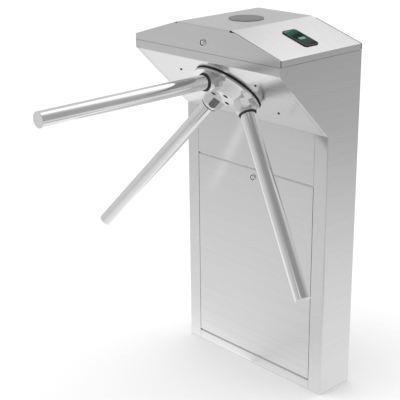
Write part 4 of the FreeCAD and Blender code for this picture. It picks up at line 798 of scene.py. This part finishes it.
homing_spring()
wiring_harness()
gasket_lips()
hinge_rivets("hinge_rivets_body", "cabinet")
hinge_rivets("hinge_rivets_lid", "lid")
door_rebates()
lock("lid_lock", LID_LOCK_FACE, "lid", "lid_lock")
lock("door_lock", DOOR_LOCK_FACE, "door", "door_lock")
board_housings()
board_metal()
supply_terminals()


# Stage: floor, soft light and the grey room that the metal mirrors
def background(tree, strength):
    node = tree.nodes.new("ShaderNodeBackground")
    node.inputs["Color"].default_value = (1, 1, 1, 1)
    node.inputs["Strength"].default_value = strength
    return node.outputs["Background"]


def larger(tree, first, second):
    node = tree.nodes.new("ShaderNodeMath")
    node.operation = "MAXIMUM"
    tree.links.new(first, node.inputs[0])
    tree.links.new(second, node.inputs[1])
    return node.outputs["Value"]


# Plain white for what is seen directly, in a mirror or through glass, and a little less for the light
def world_light():
    world = bpy.data.worlds.new("studio")
    bpy.context.scene.world = world
    world.use_nodes = True
    tree = world.node_tree
    tree.nodes.clear()
    path = tree.nodes.new("ShaderNodeLightPath").outputs
    seen = larger(tree, path["Is Camera Ray"], path["Is Glossy Ray"])
    mix = tree.nodes.new("ShaderNodeMixShader")
    output = tree.nodes.new("ShaderNodeOutputWorld")
    tree.links.new(larger(tree, seen, path["Is Transmission Ray"]), mix.inputs["Fac"])
    tree.links.new(background(tree, SKY_LIGHT), mix.inputs[1])
    tree.links.new(background(tree, SKY_WHITE), mix.inputs[2])
    tree.links.new(mix.outputs["Shader"], output.inputs["Surface"])


def floor():
    mesh = bpy.data.meshes.new("floor")
    sheet = bmesh.new()
    bmesh.ops.create_circle(sheet, cap_ends=True, radius=FLOOR_RADIUS, segments=96)
    sheet.to_mesh(mesh)
    sheet.free()
    disc = bpy.data.objects.new("floor", mesh)
    bpy.context.scene.collection.objects.link(disc)
    material, tree, shader = new_material("floor_paper")
    tone = noise(tree, even(2.0), detail=2.0)
    colours(tree, tone, shader.inputs["Base Color"], (0.3, grey(0.945)), (0.7, grey(0.955)))
    shader.inputs["Roughness"].default_value = 0.9
    shader.inputs["Specular IOR Level"].default_value = 0.1
    mesh.materials.append(material)


def soft_box(name, place, target, width, height, power):
    lamp = bpy.data.lights.new(name, "AREA")
    lamp.shape = "RECTANGLE"
    lamp.size = width
    lamp.size_y = height
    lamp.energy = power
    light = bpy.data.objects.new(name, lamp)
    light.location = place
    light.rotation_euler = (Vector(target) - Vector(place)).to_track_quat("-Z", "Y").to_euler()
    bpy.context.scene.collection.objects.link(light)


def sun(name, direction, angle, strength):
    lamp = bpy.data.lights.new(name, "SUN")
    lamp.angle = math.radians(angle)
    lamp.energy = strength
    light = bpy.data.objects.new(name, lamp)
    light.rotation_euler = Vector(direction).to_track_quat("-Z", "Y").to_euler()
    light.visible_glossy = False
    bpy.context.scene.collection.objects.link(light)


# Reads a list of (compass angle, value) pairs all the way round
def round_value(stations, angle):
    wrapped = stations + ((stations[0][0] + 360, stations[0][1]),)
    angle = (angle - wrapped[0][0]) % 360 + wrapped[0][0]
    for (start, first), (end, last) in zip(wrapped, wrapped[1:]):
        if angle <= end:
            return first + (last - first) * (angle - start) / (end - start)


def clamped(value):
    return min(1.0, max(0.0, value))


def mixed(first, last, share):
    return first + (last - first) * share


# A sheet of soft grey that shows only in reflections: rings of (radius, height) round a middle point
def reflected_sheet(name, middle, rings, tone):
    mesh = bpy.data.meshes.new(name)
    sheet = bmesh.new()
    greys = sheet.verts.layers.float_color.new("tone")
    rows = []
    for radius, height in rings:
        row = []
        for k in range(ROOM_STEPS):
            angle = 360 * k / ROOM_STEPS
            turn = math.radians(angle)
            place = (middle[0] + radius * math.cos(turn), middle[1] + radius * math.sin(turn), height)
            vert = sheet.verts.new(place)
            vert[greys] = (*grey(tone(angle, radius, height)), 1.0)
            row.append(vert)
        rows.append(row)
    for low, high in zip(rows, rows[1:]):
        for k in range(ROOM_STEPS):
            after = (k + 1) % ROOM_STEPS
            sheet.faces.new((low[k], low[after], high[after], high[k]))
    sheet.to_mesh(mesh)
    sheet.free()
    panel = bpy.data.objects.new(name, mesh)
    bpy.context.scene.collection.objects.link(panel)
    material, tree, shader = new_material(name)
    attribute = tree.nodes.new("ShaderNodeAttribute")
    attribute.attribute_name = "tone"
    tree.links.new(attribute.outputs["Color"], shader.inputs["Emission Color"])
    shader.inputs["Emission Strength"].default_value = 1.0
    shader.inputs["Base Color"].default_value = (0, 0, 0, 1)
    shader.inputs["Specular IOR Level"].default_value = 0.0
    mesh.materials.append(material)
    panel.visible_camera = False
    panel.visible_diffuse = False
    panel.visible_shadow = False


# The studio as the metal sees it: pale round the object's foot, grey at eye level, darker overhead in
# front, bright overhead behind, and one bright card in front that fades out over its own spread
def room_tone(angle, radius, height):
    if height <= ROOM_FLOOR:
        share = (radius / ROOM_RADIUS) ** FLOOR_FADE
        return mixed(round_value(FOOT_GREYS, angle), round_value(EDGE_GREYS, angle), share)
    rise = math.degrees(math.atan2(height - EYE_HEIGHT, radius))
    overhead = clamped((rise - TOP_FADE_START) / TOP_FADE_SPAN)
    tone = mixed(round_value(WALL_GREYS, angle), round_value(TOP_GREYS, angle), overhead)
    from_card = math.hypot((angle - CARD_ANGLE + 180) % 360 - 180, rise - CARD_RISE)
    return mixed(tone, CARD_GREY, clamped(2 - from_card / CARD_SPREAD))


# A round grey patch on the floor for the hub's faces to mirror, which fades into the floor's own grey
def floor_flag(name, place, radius, shade):
    away = Vector(place) - Vector(ROOM_MIDDLE)
    around = room_tone(math.degrees(math.atan2(away.y, away.x)), away.length, ROOM_FLOOR)

    def tone(angle, distance, height):
        return mixed(shade, around, clamped(distance / radius - 1))

    rings = [(radius * step, PATCH_LIFT) for step in PATCH_RINGS]
    reflected_sheet(name, place, rings, tone)


def camera():
    back = Vector((math.sin(CAMERA_AZIMUTH) * math.cos(CAMERA_ELEVATION),
                   -math.cos(CAMERA_AZIMUTH) * math.cos(CAMERA_ELEVATION), math.sin(CAMERA_ELEVATION)))
    right = Vector((0, 0, 1)).cross(back).normalized()
    up = back.cross(right)
    turned_right = right * math.cos(CAMERA_ROLL) + up * math.sin(CAMERA_ROLL)
    turned_up = up * math.cos(CAMERA_ROLL) - right * math.sin(CAMERA_ROLL)
    lens = bpy.data.cameras.new("photo_camera")
    lens.lens = CAMERA_LENS
    lens.sensor_width = SENSOR_WIDTH
    lens.clip_end = CAMERA_REACH
    view = bpy.data.objects.new("photo_camera", lens)
    axes = Matrix((turned_right, turned_up, back)).transposed().to_4x4()
    view.matrix_world = Matrix.Translation(CAMERA_PLACE) @ axes
    bpy.context.scene.collection.objects.link(view)
    bpy.context.scene.camera = view


world_light()
floor()
sun("soft_sun", direction=(0.45, 0.55, -0.9), angle=50, strength=0.7)
soft_box("rear_box", place=(0.5, 2.2, 2.9), target=(0, -0.1, 0.9), width=1.6, height=1.2, power=8.0)
reflected_sheet("room", ROOM_MIDDLE, ROOM_RINGS, room_tone)
floor_flag("front_boss_flag", place=(0.38, -0.86), radius=0.10, shade=0.16)
floor_flag("left_boss_flag", place=(0.92, 0.09), radius=0.15, shade=0.42)
floor_flag("left_boss_top_flag", place=(0.31, -1.12), radius=0.06, shade=0.40)
floor_flag("nose_flag", place=(-0.79, 0.12), radius=0.06, shade=0.85)
camera()

bpy.context.scene.view_settings.view_transform = "Standard"
